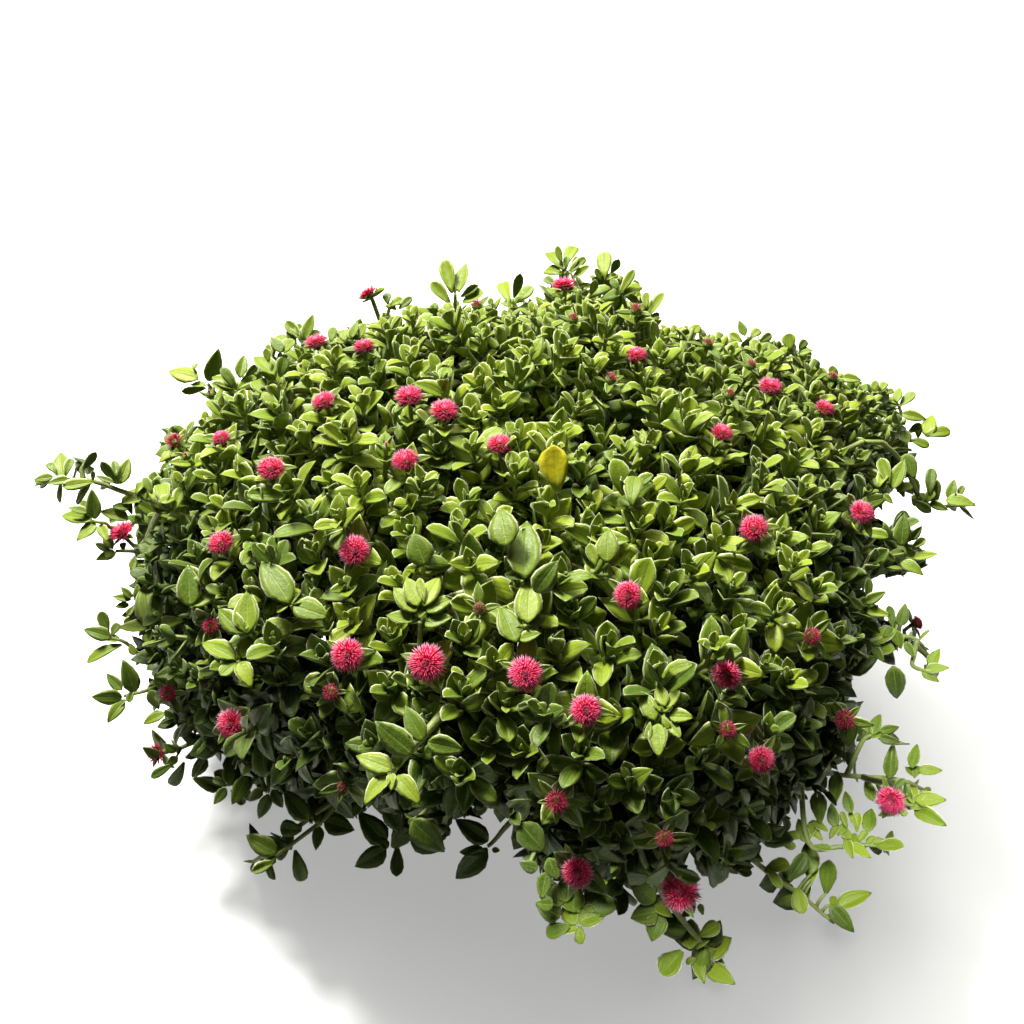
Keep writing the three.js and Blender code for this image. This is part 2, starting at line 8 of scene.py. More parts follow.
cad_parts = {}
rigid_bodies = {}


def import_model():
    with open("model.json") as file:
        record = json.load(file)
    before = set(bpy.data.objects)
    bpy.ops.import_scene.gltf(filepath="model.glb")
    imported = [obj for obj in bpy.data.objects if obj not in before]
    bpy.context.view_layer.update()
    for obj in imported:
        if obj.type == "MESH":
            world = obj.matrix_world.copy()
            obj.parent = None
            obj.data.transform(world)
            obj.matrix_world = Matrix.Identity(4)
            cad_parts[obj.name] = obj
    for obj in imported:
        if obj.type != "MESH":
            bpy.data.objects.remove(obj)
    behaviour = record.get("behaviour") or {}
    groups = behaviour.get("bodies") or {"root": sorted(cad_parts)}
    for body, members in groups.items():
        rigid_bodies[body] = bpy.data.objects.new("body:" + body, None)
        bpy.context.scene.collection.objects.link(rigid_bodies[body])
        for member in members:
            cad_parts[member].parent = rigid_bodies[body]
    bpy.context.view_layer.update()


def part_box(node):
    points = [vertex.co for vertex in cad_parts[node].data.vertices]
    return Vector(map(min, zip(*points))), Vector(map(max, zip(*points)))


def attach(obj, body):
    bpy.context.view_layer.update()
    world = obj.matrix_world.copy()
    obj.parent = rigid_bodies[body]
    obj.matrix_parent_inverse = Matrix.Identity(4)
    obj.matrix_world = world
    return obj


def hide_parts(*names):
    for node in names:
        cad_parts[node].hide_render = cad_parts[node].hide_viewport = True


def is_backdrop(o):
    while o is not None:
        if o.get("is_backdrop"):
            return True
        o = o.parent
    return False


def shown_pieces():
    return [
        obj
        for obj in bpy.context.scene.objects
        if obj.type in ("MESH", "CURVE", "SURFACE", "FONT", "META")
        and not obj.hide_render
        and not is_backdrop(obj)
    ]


for thing in list(bpy.data.objects):
    bpy.data.objects.remove(thing)
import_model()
rng = np.random.default_rng(20611)

# ------------------------------------------------------------------ the mound, as in the solids
MOUND = np.array([0.0, -0.042, 0.152])
SEMI = (0.232, 0.205, 0.152, 0.150, 2.7)
SHAPE = np.array([0.039, 0.004, -0.008, 0.044, 0.042, 0.003, 0.029, 0.008, -0.045, 0.041, -0.021, 0.0, -0.073, 0.081])
BUMPS = np.array([
    (0.994, -0.094, 0.05, 0.092), (0.934, -0.356, -0.038, -0.114), (0.794, -0.593, -0.133, 0.093),
    (0.613, -0.759, -0.218, -0.162), (0.437, -0.859, -0.266, 0.152), (0.225, -0.921, -0.317, 0.043),
    (0.02, -0.928, -0.372, -0.26), (-0.203, -0.908, -0.367, -0.26), (-0.456, -0.794, -0.402, -0.256),
    (-0.688, -0.59, -0.424, 0.125), (-0.857, -0.34, -0.387, -0.062), (-0.966, -0.174, -0.192, 0.054),
    (-0.997, -0.07, 0.022, -0.056), (-0.982, 0.06, 0.181, 0.033), (-0.891, 0.249, 0.38, 0.007),
    (-0.751, 0.348, 0.561, 0.008), (-0.541, 0.424, 0.726, -0.024), (-0.302, 0.517, 0.801, 0.023),
    (0.02, 0.574, 0.818, -0.087), (0.303, 0.621, 0.723, 0.134), (0.548, 0.616, 0.565, -0.12),
    (0.751, 0.487, 0.446, -0.041), (0.89, 0.35, 0.292, 0.112), (0.976, 0.138, 0.171, -0.053)])
BUMP_DIRS = BUMPS[:, :3] / np.linalg.norm(BUMPS[:, :3], axis=1)[:, None]
POT = dict(h=0.125, base=0.084, neck=0.113, rim=0.124, band=0.024, wall=0.007, floor=0.008)
BRANCHES = [
    ("top_branch_01", 80, 84), ("top_branch_02", 270, 50), ("top_branch_03", 326, 50), ("top_branch_04", 24, 50),
    ("top_branch_05", 90, 50), ("top_branch_06", 156, 50), ("top_branch_07", 214, 50),
    ("side_branch_01", 250, 16), ("side_branch_02", 290, 16), ("side_branch_03", 330, 16),
    ("side_branch_04", 10, 16), ("side_branch_05", 50, 16), ("side_branch_06", 90, 16),
    ("side_branch_07", 130, 16), ("side_branch_08", 170, 16), ("side_branch_09", 210, 16),
    ("hanging_branch_01", 270, -18), ("hanging_branch_02", 305, -19), ("hanging_branch_03", 339, -20),
    ("hanging_branch_04", 13, -18), ("hanging_branch_05", 48, -8), ("hanging_branch_06", 90, -6),
    ("hanging_branch_07", 132, -8), ("hanging_branch_08", 167, -18), ("hanging_branch_09", 201, -20),
    ("hanging_branch_10", 235, -19),
    ("low_branch_01", 243, -46), ("low_branch_02", 283, -46), ("low_branch_03", 321, -44)]
MAIN_STEMS = [(250, 10), (290, 10), (330, 10), (10, 10), (50, 12), (90, 14), (130, 12), (170, 10), (210, 10), (84, 74)]
TRAILS = [
    ("trailing_stem_01", [(-150, -72, 205), (-178, -75, 222), (-197, -76, 235), (-212, -76, 242), (-230, -76, 250), (-253, -76, 247)]),
    ("trailing_stem_02", [(165, -28, 215), (207, -20, 236), (231, -20, 217), (248, -20, 190), (274, -20, 189)]),
    ("trailing_stem_03", [(150, -100, 140), (194, -97, 146), (214, -95, 151), (232, -96, 150), (250, -95, 122)]),
    ("trailing_stem_04", [(120, -150, 112), (161, -150, 108), (184, -152, 99), (222, -150, 92), (246, -150, 74)]),
    ("trailing_stem_05", [(96, -190, 118), (122, -196, 92), (146, -190, 58), (168, -184, 30), (184, -186, 13), (199, -198, 10)]),
    ("trailing_stem_06", [(66, -214, 110), (84, -222, 78), (100, -218, 44), (111, -209, 18), (117, -212, 10), (121, -223, 10)]),
    ("trailing_stem_07", [(-82, -160, 105), (-105, -172, 94), (-126, -178, 78), (-146, -180, 58), (-164, -176, 44)]),
    ("trailing_stem_08", [(-28, -150, 78), (-36, -160, 56), (-30, -166, 42), (-14, -162, 48), (-4, -158, 60)])]


def unit(v):
    v = np.asarray(v, float)
    return v / np.maximum(np.linalg.norm(v, axis=-1, keepdims=True), 1e-12)


def mound_radius(d):
    d = np.atleast_2d(d)
    x, y, z = d.T
    ax, ay, au, ad, p = SEMI
    h = (x / ax) ** 2 + (y / ay) ** 2
    r = np.where(z > 0, 1 / np.sqrt(h + (z / au) ** 2), 1 / (h ** (p / 2) + (np.abs(z) / ad) ** p) ** (1 / p))
    terms = np.c_[x, y, z, x * y, x * z, y * z, x * x - y * y, 3 * z * z - 1, x * (5 * z * z - 1), y * (5 * z * z - 1),
                  z * (x * x - y * y), x * y * z, x * (x * x - 3 * y * y), y * (3 * x * x - y * y)]
    w = 2 * math.radians(11) ** 2
    b = np.exp(-np.arccos(np.clip(d @ BUMP_DIRS.T, -1, 1)) ** 2 / w) @ BUMPS[:, 3]
    return r * (1 + terms @ SHAPE) * (1 + b)


def direction(az, el):
    az, el = np.radians(az), np.radians(el)
    return np.array([np.cos(el) * np.cos(az), np.cos(el) * np.sin(az), np.sin(el)])


def on_mound(d, k=1.0, less=0.0):
    return MOUND + unit(d) * (mound_radius(unit(d))[0] * k - less)


def mound_normal(d):
    d = unit(d)
    a = unit(np.cross(d, (0.0, 0.0, 1.0) if abs(d[2]) < 0.95 else (1.0, 0.0, 0.0)))
    b = np.cross(d, a)
    e = 0.09
    p = [on_mound(unit(d + v)) for v in (a * e, -a * e, b * e, -b * e)]
    n = unit(np.cross(p[0] - p[1], p[2] - p[3]))
    return n if n @ d > 0 else -n


def bezier(p, t):
    t = np.atleast_1d(t)[:, None]
    s = 1 - t
    return s ** 3 * p[0] + 3 * s * s * t * p[1] + 3 * s * t * t * p[2] + t ** 3 * p[3]


# ------------------------------------------------------------------ camera, at the photograph's viewing angle
ELEV, DIST, FOCAL_PX = math.radians(38), 0.75, 1260.0
AIM = MOUND + np.array([0.0, 0.0134, 0.0383])
EYE = AIM + DIST * np.array([0.0, -math.cos(ELEV), math.sin(ELEV)])
FWD = np.array([0.0, math.cos(ELEV), -math.sin(ELEV)])
UP = np.array([0.0, math.sin(ELEV), math.cos(ELEV)])
RIGHT = np.array([1.0, 0.0, 0.0])
cam_data = bpy.data.cameras.new("camera")
cam_data.sensor_width = 36.0
cam_data.lens = FOCAL_PX / 1024 * 36.0
cam_data.clip_start, cam_data.clip_end = 0.01, 50.0
cam = bpy.data.objects.new("camera", cam_data)
cam.location = EYE
cam.rotation_euler = (math.pi / 2 - ELEV, 0.0, 0.0)
bpy.context.collection.objects.link(cam)
bpy.context.scene.camera = cam


def through(px, py, k=1.0):
    """Where the sight line of an image point first meets the mound, or passes closest to it."""
    ray = FWD + RIGHT * (px - 512) / FOCAL_PX + UP * (512 - py) / FOCAL_PX
    p = EYE + np.linspace(0.35, 1.05, 1401)[:, None] * ray
    q = p - MOUND
    n = np.linalg.norm(q, axis=1)
    rel = n / (mound_radius(q / n[:, None]) * k)
    inside = rel < 1
    i = int(np.argmax(inside)) if inside.any() else int(np.argmin(rel))
    return p[i], bool(inside.any())


def project(p):
    """Image place and depth of points, in the 1024 frame."""
    q = np.asarray(p) - EYE
    depth = q @ FWD
    return 512 + FOCAL_PX * (q @ RIGHT) / depth, 512 - FOCAL_PX * (q @ UP) / depth, depth


# The edge of the dense foliage seen from the front, measured in the 1024 frame. Beyond it there are only
# the trailing stems and the shoots that are set leaf by leaf.
EDGE = np.array([
    (205, 415), (213, 396), (240, 384), (262, 366), (272, 342), (285, 334), (300, 330), (318, 331), (345, 329), (370, 325), (385, 318), (410, 312), (430, 305),
    (445, 300), (470, 302), (490, 300), (505, 300), (530, 298), (543, 292), (550, 276), (575, 262), (590, 268), (605, 268), (625, 280), (640, 290),
    (652, 305), (655, 322), (668, 330), (685, 325), (705, 328), (725, 335), (745, 337), (770, 340), (795, 348), (808, 355), (815, 370), (835, 376),
    (858, 384), (880, 390), (895, 402), (905, 412), (912, 430), (905, 445), (906, 462), (909, 478), (904, 491), (886, 496), (874, 504), (876, 520), (890, 532), (896, 540), (899, 520), (905, 515),
    (918, 528), (930, 545), (930, 560), (915, 572), (895, 572), (875, 568), (866, 580), (872, 600), (885, 615), (898, 625), (903, 640), (893, 658),
    (870, 662), (850, 668), (845, 690), (850, 712), (862, 730), (858, 745), (845, 755), (843, 770), (850, 785), (845, 800), (828, 800), (812, 806), (800, 806),
    (785, 820), (782, 845), (768, 850), (760, 874), (748, 878), (735, 872), (722, 868), (706, 872), (698, 868), (694, 857), (688, 858), (688, 880), (672, 890), (650, 898), (630, 905),
    (605, 908), (585, 905), (560, 905), (545, 890), (537, 868), (528, 850), (517, 832), (512, 815), (498, 804), (482, 806), (470, 820), (452, 818),
    (440, 845), (415, 840), (400, 822), (385, 828), (362, 826), (356, 817), (347, 820), (338, 823), (322, 824), (306, 820), (298, 806), (290, 800), (283, 795), (278, 782), (266, 792),
    (255, 788), (240, 785), (225, 778), (205, 768), (190, 758), (172, 752), (155, 748), (150, 735), (152, 715), (150, 700), (152, 680), (142, 665),
    (138, 645), (130, 630), (127, 612), (132, 590), (140, 572), (137, 555), (128, 545), (122, 535), (124, 515), (130, 500), (142, 490), (152, 478),
    (165, 465), (160, 450), (165, 435), (185, 430), (200, 425)], float)
# Small holes in it: x0, y0, x1, y1
GAPS = np.array([(689, 860, 696, 876), (764, 846, 784, 866), (179, 742, 198, 754), (205, 756, 216, 774)], float)
SIGHT = []          # flowers and single leaves that nothing hangs in front of: x, y, radius, depth



def outside(x, y):
    """True where image places are beyond the edge of the dense foliage."""
    x0, y0 = EDGE.T
    x1, y1 = np.roll(EDGE, -1, axis=0).T
    odd = np.zeros(len(x), bool)
    for ax, ay, bx, by in zip(x0, y0, x1, y1):
        if ay != by:
            cross = (ay > y) != (by > y)
            odd ^= cross & (x < (bx - ax) * (y - ay) / (by - ay) + ax)
    return ~odd


def in_gap(p):
    x, y, depth = project(np.asarray(p)[None])
    return bool(outside(x, y)[0] or off_limits(np.asarray(p)[None], True)[0])


def off_limits(points, gaps_only=False):
    """True where a leaf would fill a gap of the outline or cover a flower."""
    x, y, depth = project(points)
    bad = np.zeros(len(points), bool)
    for g in GAPS:
        bad |= (x > g[0]) & (x < g[2]) & (y > g[1]) & (y < g[3]) & (points[:, 1] < 0.03)
    if gaps_only:
        return bad
    for fx, fy, r, fd in SIGHT:
        bad |= (np.hypot(x - fx, y - fy) < r) & (depth < fd + 0.003)
    return bad


# ------------------------------------------------------------------ mesh helpers
def new_object(name, verts, faces_flat, sizes, material, smooth=True, attrs=None, uv=None):
    """faces_flat: vertex indices one face after another; sizes: corners of each face."""
    me = bpy.data.meshes.new(name)
    nv, nl, nf = len(verts), len(faces_flat), len(sizes)
    me.vertices.add(nv)
    me.vertices.foreach_set("co", np.asarray(verts, np.float32).ravel())
    me.loops.add(nl)
    me.loops.foreach_set("vertex_index", np.asarray(faces_flat, np.int32))
    me.polygons.add(nf)
    sizes = np.asarray(sizes, np.int32)
    me.polygons.foreach_set("loop_start", np.concatenate([[0], np.cumsum(sizes)[:-1]]).astype(np.int32))
    me.update(calc_edges=True)
    me.validate(verbose=False)
    me.polygons.foreach_set("use_smooth", np.full(nf, bool(smooth)))
    for key, kind, data in attrs or []:
        at = me.attributes.new(key, kind, "POINT")
        if kind == "FLOAT":
            at.data.foreach_set("value", np.asarray(data, np.float32).ravel())
        elif kind == "FLOAT_VECTOR":
            at.data.foreach_set("vector", np.asarray(data, np.float32).ravel())
    if uv is not None:
        layer = me.uv_layers.new(name="OFBake")
        layer.uv.foreach_set("vector", np.asarray(uv, np.float32).ravel())
    me.materials.append(material)
    me.update()
    ob = bpy.data.objects.new(name, me)
    bpy.context.collection.objects.link(ob)
    return ob


class Batch:
    """Collects shapes and makes them one mesh."""
    def __init__(self):
        self.v, self.f, self.s, self.a, self.b, self.uv, self.n = [], [], [], [], [], [], 0

    def add(self, verts, flat, sizes, loc, tint, uv):
        self.v.append(verts); self.f.append(np.asarray(flat) + self.n); self.s.append(sizes)
        self.a.append(loc); self.b.append(tint); self.uv.append(uv)
        self.n += len(verts)

    def build(self, name, material, smooth=True):
        if not self.v:
            return None
        return new_object(name, np.concatenate(self.v), np.concatenate(self.f), np.concatenate(self.s), material, smooth,
                          [("place", "FLOAT_VECTOR", np.concatenate(self.a)), ("tint", "FLOAT_VECTOR", np.concatenate(self.b))],
                          np.concatenate(self.uv) if all(u is not None for u in self.uv) else None)


# ------------------------------------------------------------------ leaf shapes
def outline(u, blunt=False):
    """Half width of a leaf along its length, 1 at its widest: heart-shaped and pointed, or blunt like a spoon."""
    pts_u = [0.0, 0.04, 0.10, 0.18, 0.27, 0.38, 0.50, 0.62, 0.74, 0.85, 0.94, 1.0]
    heart = [0.14, 0.33, 0.64, 0.87, 0.98, 1.0, 0.94, 0.81, 0.62, 0.39, 0.17, 0.0]
    spoon = [0.20, 0.27, 0.38, 0.51, 0.66, 0.82, 0.94, 1.0, 0.96, 0.79, 0.50, 0.0]
    return np.interp(u, pts_u, spoon if blunt else heart)


def leaf_proto(stations, across_top, across_low, width, thick, fold, curl, twist, wave, seed, blunt=False):
    """A closed fleshy leaf of length 1 along +X, upper side +Z. Returns a dict of arrays."""
    r = np.random.default_rng(seed)
    st = np.asarray(stations)
    tops, lows = np.asarray(across_top), np.asarray(across_low)
    ring = len(tops) + len(lows)
    V, L = [], []
    ph = r.uniform(0, 6.28, 3)
    for u in st:
        w = outline(u, blunt) * width / 2
        t = thick * (0.35 + 0.65 * math.sin(math.pi * min(1, max(0.0, (u * 0.94 + 0.06))) ** 0.8)) * (1 if u > 0.08 else 0.9)
        ang = curl * u * u
        # the blade bends back along its length
        cx = u - 0.16 * curl * curl * u ** 3 * 0.35
        cz = -curl * u * u * 0.42
        tn = np.array([math.cos(ang), 0, -math.sin(ang)])
        nn = np.array([math.sin(ang), 0, math.cos(ang)])
        tw = twist * u
        for side, vs in ((1.0, tops), (0.0, lows)):
            for v in vs:
                y = w * v
                z = fold * w * abs(v) ** 1.25 + 0.10 * w * v ** 4
                z += wave * w * math.sin(5.0 * u + ph[0] + (1.3 if v > 0 else 0)) * v * v
                if side:
                    if abs(v) < 1:
                        z += t * (0.62 * (1 - v * v) - 0.34 * math.exp(-(v / 0.22) ** 2))
                else:
                    z -= t * (0.55 * (1 - v * v) + 0.25 * math.exp(-(v / 0.3) ** 2))
                yy = y * math.cos(tw) - z * math.sin(tw)
                zz = y * math.sin(tw) + z * math.cos(tw)
                V.append(np.array([cx, 0, cz]) + np.array([0, yy, 0]) + nn * zz)
                L.append((u, v, 0.5 if abs(v) == 1 else side))
    n = len(st)
    flat, sizes = [], []
    for i in range(n - 1):
        for k in range(ring):
            a, b = i * ring + k, i * ring + (k + 1) % ring
            flat += [a, b, b + ring, a + ring]; sizes.append(4)
    flat += list(range(ring))[::-1]; sizes.append(ring)
    tip_u = 1.0
    ang = curl
    V.append(np.array([1 - 0.056 * curl * curl, 0, -curl * 0.42]) + np.array([math.sin(ang), 0, math.cos(ang)]) * (-thick * 0.1))
    L.append((tip_u, 0, 0.5))
    T = len(V) - 1
    for k in range(ring):
        a, b = (n - 1) * ring + k, (n - 1) * ring + (k + 1) % ring
        flat += [a, b, T]; sizes.append(3)
    V, L = np.array(V), np.array(L)
    # orientation: outside faces outwards
    v0, v1, v2 = V[flat[0]], V[flat[1]], V[flat[2]]
    mid = V.mean(0)
    vol = 0.0
    j = 0
    for s in sizes:
        f = flat[j:j + s]
        for q in range(1, s - 1):
            vol += np.dot(V[f[0]], np.cross(V[f[q]], V[f[q + 1]]))
        j += s
    if vol < 0:
        out, j = [], 0
        for s in sizes:
            out += flat[j:j + s][::-1]; j += s
        flat = out
    flat, sizes = np.array(flat), np.array(sizes)
    # two halves of the texture cell: upper side left, lower side right
    face_of = np.repeat(np.arange(len(sizes)), sizes)
    side_sum = np.zeros(len(sizes)); np.add.at(side_sum, face_of, L[flat][:, 2])
    upper = (side_sum / sizes) > 0.5
    up = upper[face_of]
    x = 0.25 + 0.22 * L[flat][:, 1] * np.maximum(outline(L[flat][:, 0], blunt), 0.05) + np.where(up, 0.0, 0.5)
    y = 0.03 + 0.94 * L[flat][:, 0]
    return dict(V=V, L=L, flat=flat, sizes=sizes, uv=np.c_[x, y])


TOP5 = [-1, -0.52, 0, 0.52, 1]
FINE, MIDDLE, ROUGH = [], [], []
POINTED, BLUNT = range(0, 10), range(10, 16)
WIDTHS = [0.72, 0.68, 0.64, 0.76, 0.62, 0.74, 0.68, 0.72, 0.66, 0.70, 0.56, 0.50, 0.58, 0.53, 0.60, 0.52]
for i in range(16):
    blunt = i in BLUNT
    fold = [0.10, 0.26, 0.38, 0.14, 0.46, 0.05, 0.30, 0.18, 0.40, 0.12, 0.42, 0.30, 0.55, 0.24, 0.48, 0.36][i]
    curl = [0.35, 0.15, 0.50, 0.0, 0.25, 0.65, -0.2, 0.45, 0.1, 0.8, 0.35, -0.25, 0.1, 0.6, -0.4, 0.85][i]
    tw = [0.0, 0.15, -0.2, 0.1, -0.1, 0.2, 0.05, -0.15, 0.25, 0.0, 0.1, -0.15, 0.0, 0.2, -0.1, 0.15][i]
    args = (WIDTHS[i], 0.110 if blunt else 0.092, fold, curl, tw, 0.07, 100 + i, blunt)
    FINE.append(leaf_proto([0.0, 0.22, 0.46, 0.70, 0.87, 0.965] if blunt else [0.0, 0.09, 0.25, 0.46, 0.68, 0.87], TOP5, [0], *args))
    MIDDLE.append(leaf_proto([0.02, 0.30, 0.62, 0.84, 0.96] if blunt else [0.02, 0.13, 0.34, 0.60, 0.84], [-1, 0, 1], [0], *args))
    ROUGH.append(leaf_proto([0.05, 0.5, 0.88] if blunt else [0.05, 0.28, 0.70], [-1, 1], [0], *args))


class Leaves:
    """Leaf positions of one piece, made into one mesh with a texture cell per leaf."""
    def __init__(self):
        self.items = []          # (detail, variant, base, x axis, y axis, z axis, length, widthscale, tint, keep)

    def add(self, detail, variant, base, dx, dz, length, wide, tint, keep=False):
        dx = unit(dx)
        dy = unit(np.cross(dz, dx)); dz = np.cross(dx, dy)
        self.items.append((detail, variant, base, dx, dy, dz, length, wide, tint, keep))

    def build(self, name, material, trim=""):
        """trim drops leaves that would fill a gap or cover a flower, and with "edge" also those beyond the edge of the foliage."""
        if trim and self.items:
            base = np.array([it[2] for it in self.items]); dx = np.array([it[3] for it in self.items]); ln = np.array([it[6] for it in self.items])[:, None]
            mid = base + dx * ln * 0.55
            bad = off_limits(mid) | off_limits(base + dx * ln * 0.92)
            if trim == "edge":
                bad |= outside(*project(mid)[:2])
            self.items = [it for it, b in zip(self.items, bad) if it[9] or not b]
        if not self.items:
            return None
        B = Batch()
        n = len(self.items)
        grid = math.ceil(math.sqrt(n))
        groups = {}
        for i, it in enumerate(self.items):
            groups.setdefault((it[0], it[1]), []).append(i)
        for (detail, variant), idx in groups.items():
            P = (FINE, MIDDLE, ROUGH)[detail][variant]
            m = len(idx)
            base = np.array([self.items[i][2] for i in idx])
            M = np.array([[self.items[i][3] , self.items[i][4], self.items[i][5]] for i in idx])    # rows are axes
            ln = np.array([self.items[i][6] for i in idx]); wd = np.array([self.items[i][7] for i in idx])
            tint = np.array([self.items[i][8] for i in idx])
            loc = P["V"][None] * np.stack([ln, ln * wd, ln * np.ones(m)], 1)[:, None, :]
            verts = base[:, None] + np.einsum("mvk,mkc->mvc", loc, M)
            nv = P["V"].shape[0]
            flat = (P["flat"][None] + (np.arange(m) * nv)[:, None]).ravel()
            cells = np.array([(i % grid, i // grid) for i in idx], float)
            uv = (P["uv"][None] * 0.96 + 0.02 + cells[:, None]) / grid
            B.add(verts.reshape(-1, 3), flat, np.tile(P["sizes"], m), np.tile(P["L"], (m, 1)), np.repeat(tint, nv, 0), uv.reshape(-1, 2))
        return B.build(name, material)


def tube(points, radii, sides, tint=(0, 0, 0), caps=True):
    """Closed tapering tube. Returns arrays for Batch.add."""
    P = np.asarray(points, float)
    n = len(P)
    T = unit(np.gradient(P, axis=0))
    side = unit(np.cross((0, 0, 1.0) if abs(T[0][2]) < 0.9 else (1.0, 0, 0), T[0]))
    V, L = [], []
    along = np.concatenate([[0], np.cumsum(np.linalg.norm(np.diff(P, axis=0), axis=1))])
    a = np.arange(sides) * 2 * math.pi / sides
    for i in range(n):
        side = unit(side - T[i] * (side @ T[i]))
        up = np.cross(T[i], side)
        V.append(P[i] + radii[i] * (np.cos(a)[:, None] * side + np.sin(a)[:, None] * up))
        L.append(np.c_[np.full(sides, along[i]), np.cos(a), np.sin(a)])
    V.append(P[:1]); V.append(P[-1:])
    L.append(np.array([[0, 0, 0.0], [along[-1], 0, 0]]))
    V, L = np.concatenate(V), np.concatenate(L)
    flat, uv = [], []
    k = np.arange(sides); k2 = (k + 1) % sides
    for i in range(n - 1):
        q = np.stack([i * sides + k, i * sides + k2, (i + 1) * sides + k2, (i + 1) * sides + k], 1)
        flat.append(q.ravel())
        u0, u1 = along[i] / along[-1], along[i + 1] / along[-1]
        uv.append(np.stack([np.c_[k / sides, np.full(sides, u0)], np.c_[(k + 1) / sides, np.full(sides, u0)],
                            np.c_[(k + 1) / sides, np.full(sides, u1)], np.c_[k / sides, np.full(sides, u1)]], 1).reshape(-1, 2))
    sizes = [4] * (sides * (n - 1))
    A, Z = n * sides, n * sides + 1
    flat.append(np.stack([np.full(sides, A), k2, k], 1).ravel()); sizes += [3] * sides
    flat.append(np.stack([np.full(sides, Z), (n - 1) * sides + k, (n - 1) * sides + k2], 1).ravel()); sizes += [3] * sides
    uv.append(np.tile([[0.5, 0.0]], (3 * sides, 1))); uv.append(np.tile([[0.5, 1.0]], (3 * sides, 1)))
    return V, np.concatenate(flat), np.array(sizes), L, np.tile(tint, (len(V), 1)), np.concatenate(uv)


class Stems(Batch):
    """Stems of one piece, each with its own texture strip."""
    def stem(self, points, radii, sides, tint):
        self.add(*tube(points, radii, sides, tint))

    def build(self, name, material):
        n = max(1, len(self.uv))
        for i, u in enumerate(self.uv):
            self.uv[i] = np.c_[(i + 0.05 + 0.9 * u[:, 0]) / n, 0.01 + 0.98 * u[:, 1]]
        return super().build(name, material)


# ------------------------------------------------------------------ materials
def node_material(name):
    m = bpy.data.materials.new(name)
    m.use_nodes = True
    nt = m.node_tree
    nt.nodes.clear()
    out = nt.nodes.new("ShaderNodeOutputMaterial")
    bsdf = nt.nodes.new("ShaderNodeBsdfPrincipled")
    nt.links.new(bsdf.outputs[0], out.inputs[0])
    return m, nt, bsdf


class N:
    """Small helper to wire nodes."""
    def __init__(self, nt):
        self.nt = nt

    def node(self, kind, **props):
        n = self.nt.nodes.new(kind)
        for k, v in props.items():
            setattr(n, k, v)
        return n

    def set(self, socket, value):
        if hasattr(value, "is_linked") or isinstance(value, bpy.types.NodeSocket):
            self.nt.links.new(value, socket)
        elif value is not None:
            socket.default_value = value

    def math(self, op, a, b=None, c=None, clamp=False):
        n = self.node("ShaderNodeMath", operation=op, use_clamp=clamp)
        for s, v in zip(n.inputs, (a, b, c)):
            self.set(s, v)
        return n.outputs[0]

    def mix(self, f, a, b, blend="MIX"):
        n = self.node("ShaderNodeMix", data_type="RGBA", blend_type=blend)
        n.clamp_factor = True
        self.set(n.inputs[0], f); self.set(n.inputs[6], a); self.set(n.inputs[7], b)
        return n.outputs[2]

    def range(self, v, lo, hi, a=0.0, b=1.0, smooth=True):
        n = self.node("ShaderNodeMapRange", interpolation_type="SMOOTHSTEP" if smooth else "LINEAR")
        self.set(n.inputs[0], v)
        for i, x in zip((1, 2, 3, 4), (lo, hi, a, b)):
            n.inputs[i].default_value = x
        return n.outputs[0]

    def noise(self, vec, scale, detail=2.0, rough=0.5):
        n = self.node("ShaderNodeTexNoise")
        self.set(n.inputs["Vector"], vec)
        n.inputs["Scale"].default_value = scale; n.inputs["Detail"].default_value = detail; n.inputs["Roughness"].default_value = rough
        return n.outputs[0]

    def voronoi(self, vec, scale, feature="F1"):
        n = self.node("ShaderNodeTexVoronoi", feature=feature)
        self.set(n.inputs["Vector"], vec)
        n.inputs["Scale"].default_value = scale
        return n.outputs["Distance"]

    def attr(self, name):
        a = self.node("ShaderNodeAttribute", attribute_name=name)
        s = self.node("ShaderNodeSeparateXYZ")
        self.nt.links.new(a.outputs["Vector"], s.inputs[0])
        return s.outputs[0], s.outputs[1], s.outputs[2]

    def coords(self):
        return self.node("ShaderNodeTexCoord").outputs["Object"]

    def bump(self, height, strength, distance, normal=None):
        n = self.node("ShaderNodeBump")
        n.inputs["Strength"].default_value = strength
        n.inputs["Distance"].default_value = distance
        self.set(n.inputs["Height"], height)
        if normal is not None:
            self.set(n.inputs["Normal"], normal)
        return n.outputs[0]


def rgb(r, g, b):
    """sRGB 0-255 to linear."""
    f = lambda c: c / 255 / 12.92 if c / 255 <= 0.04045 else ((c / 255 + 0.055) / 1.055) ** 2.4
    return (f(r), f(g), f(b), 1.0)


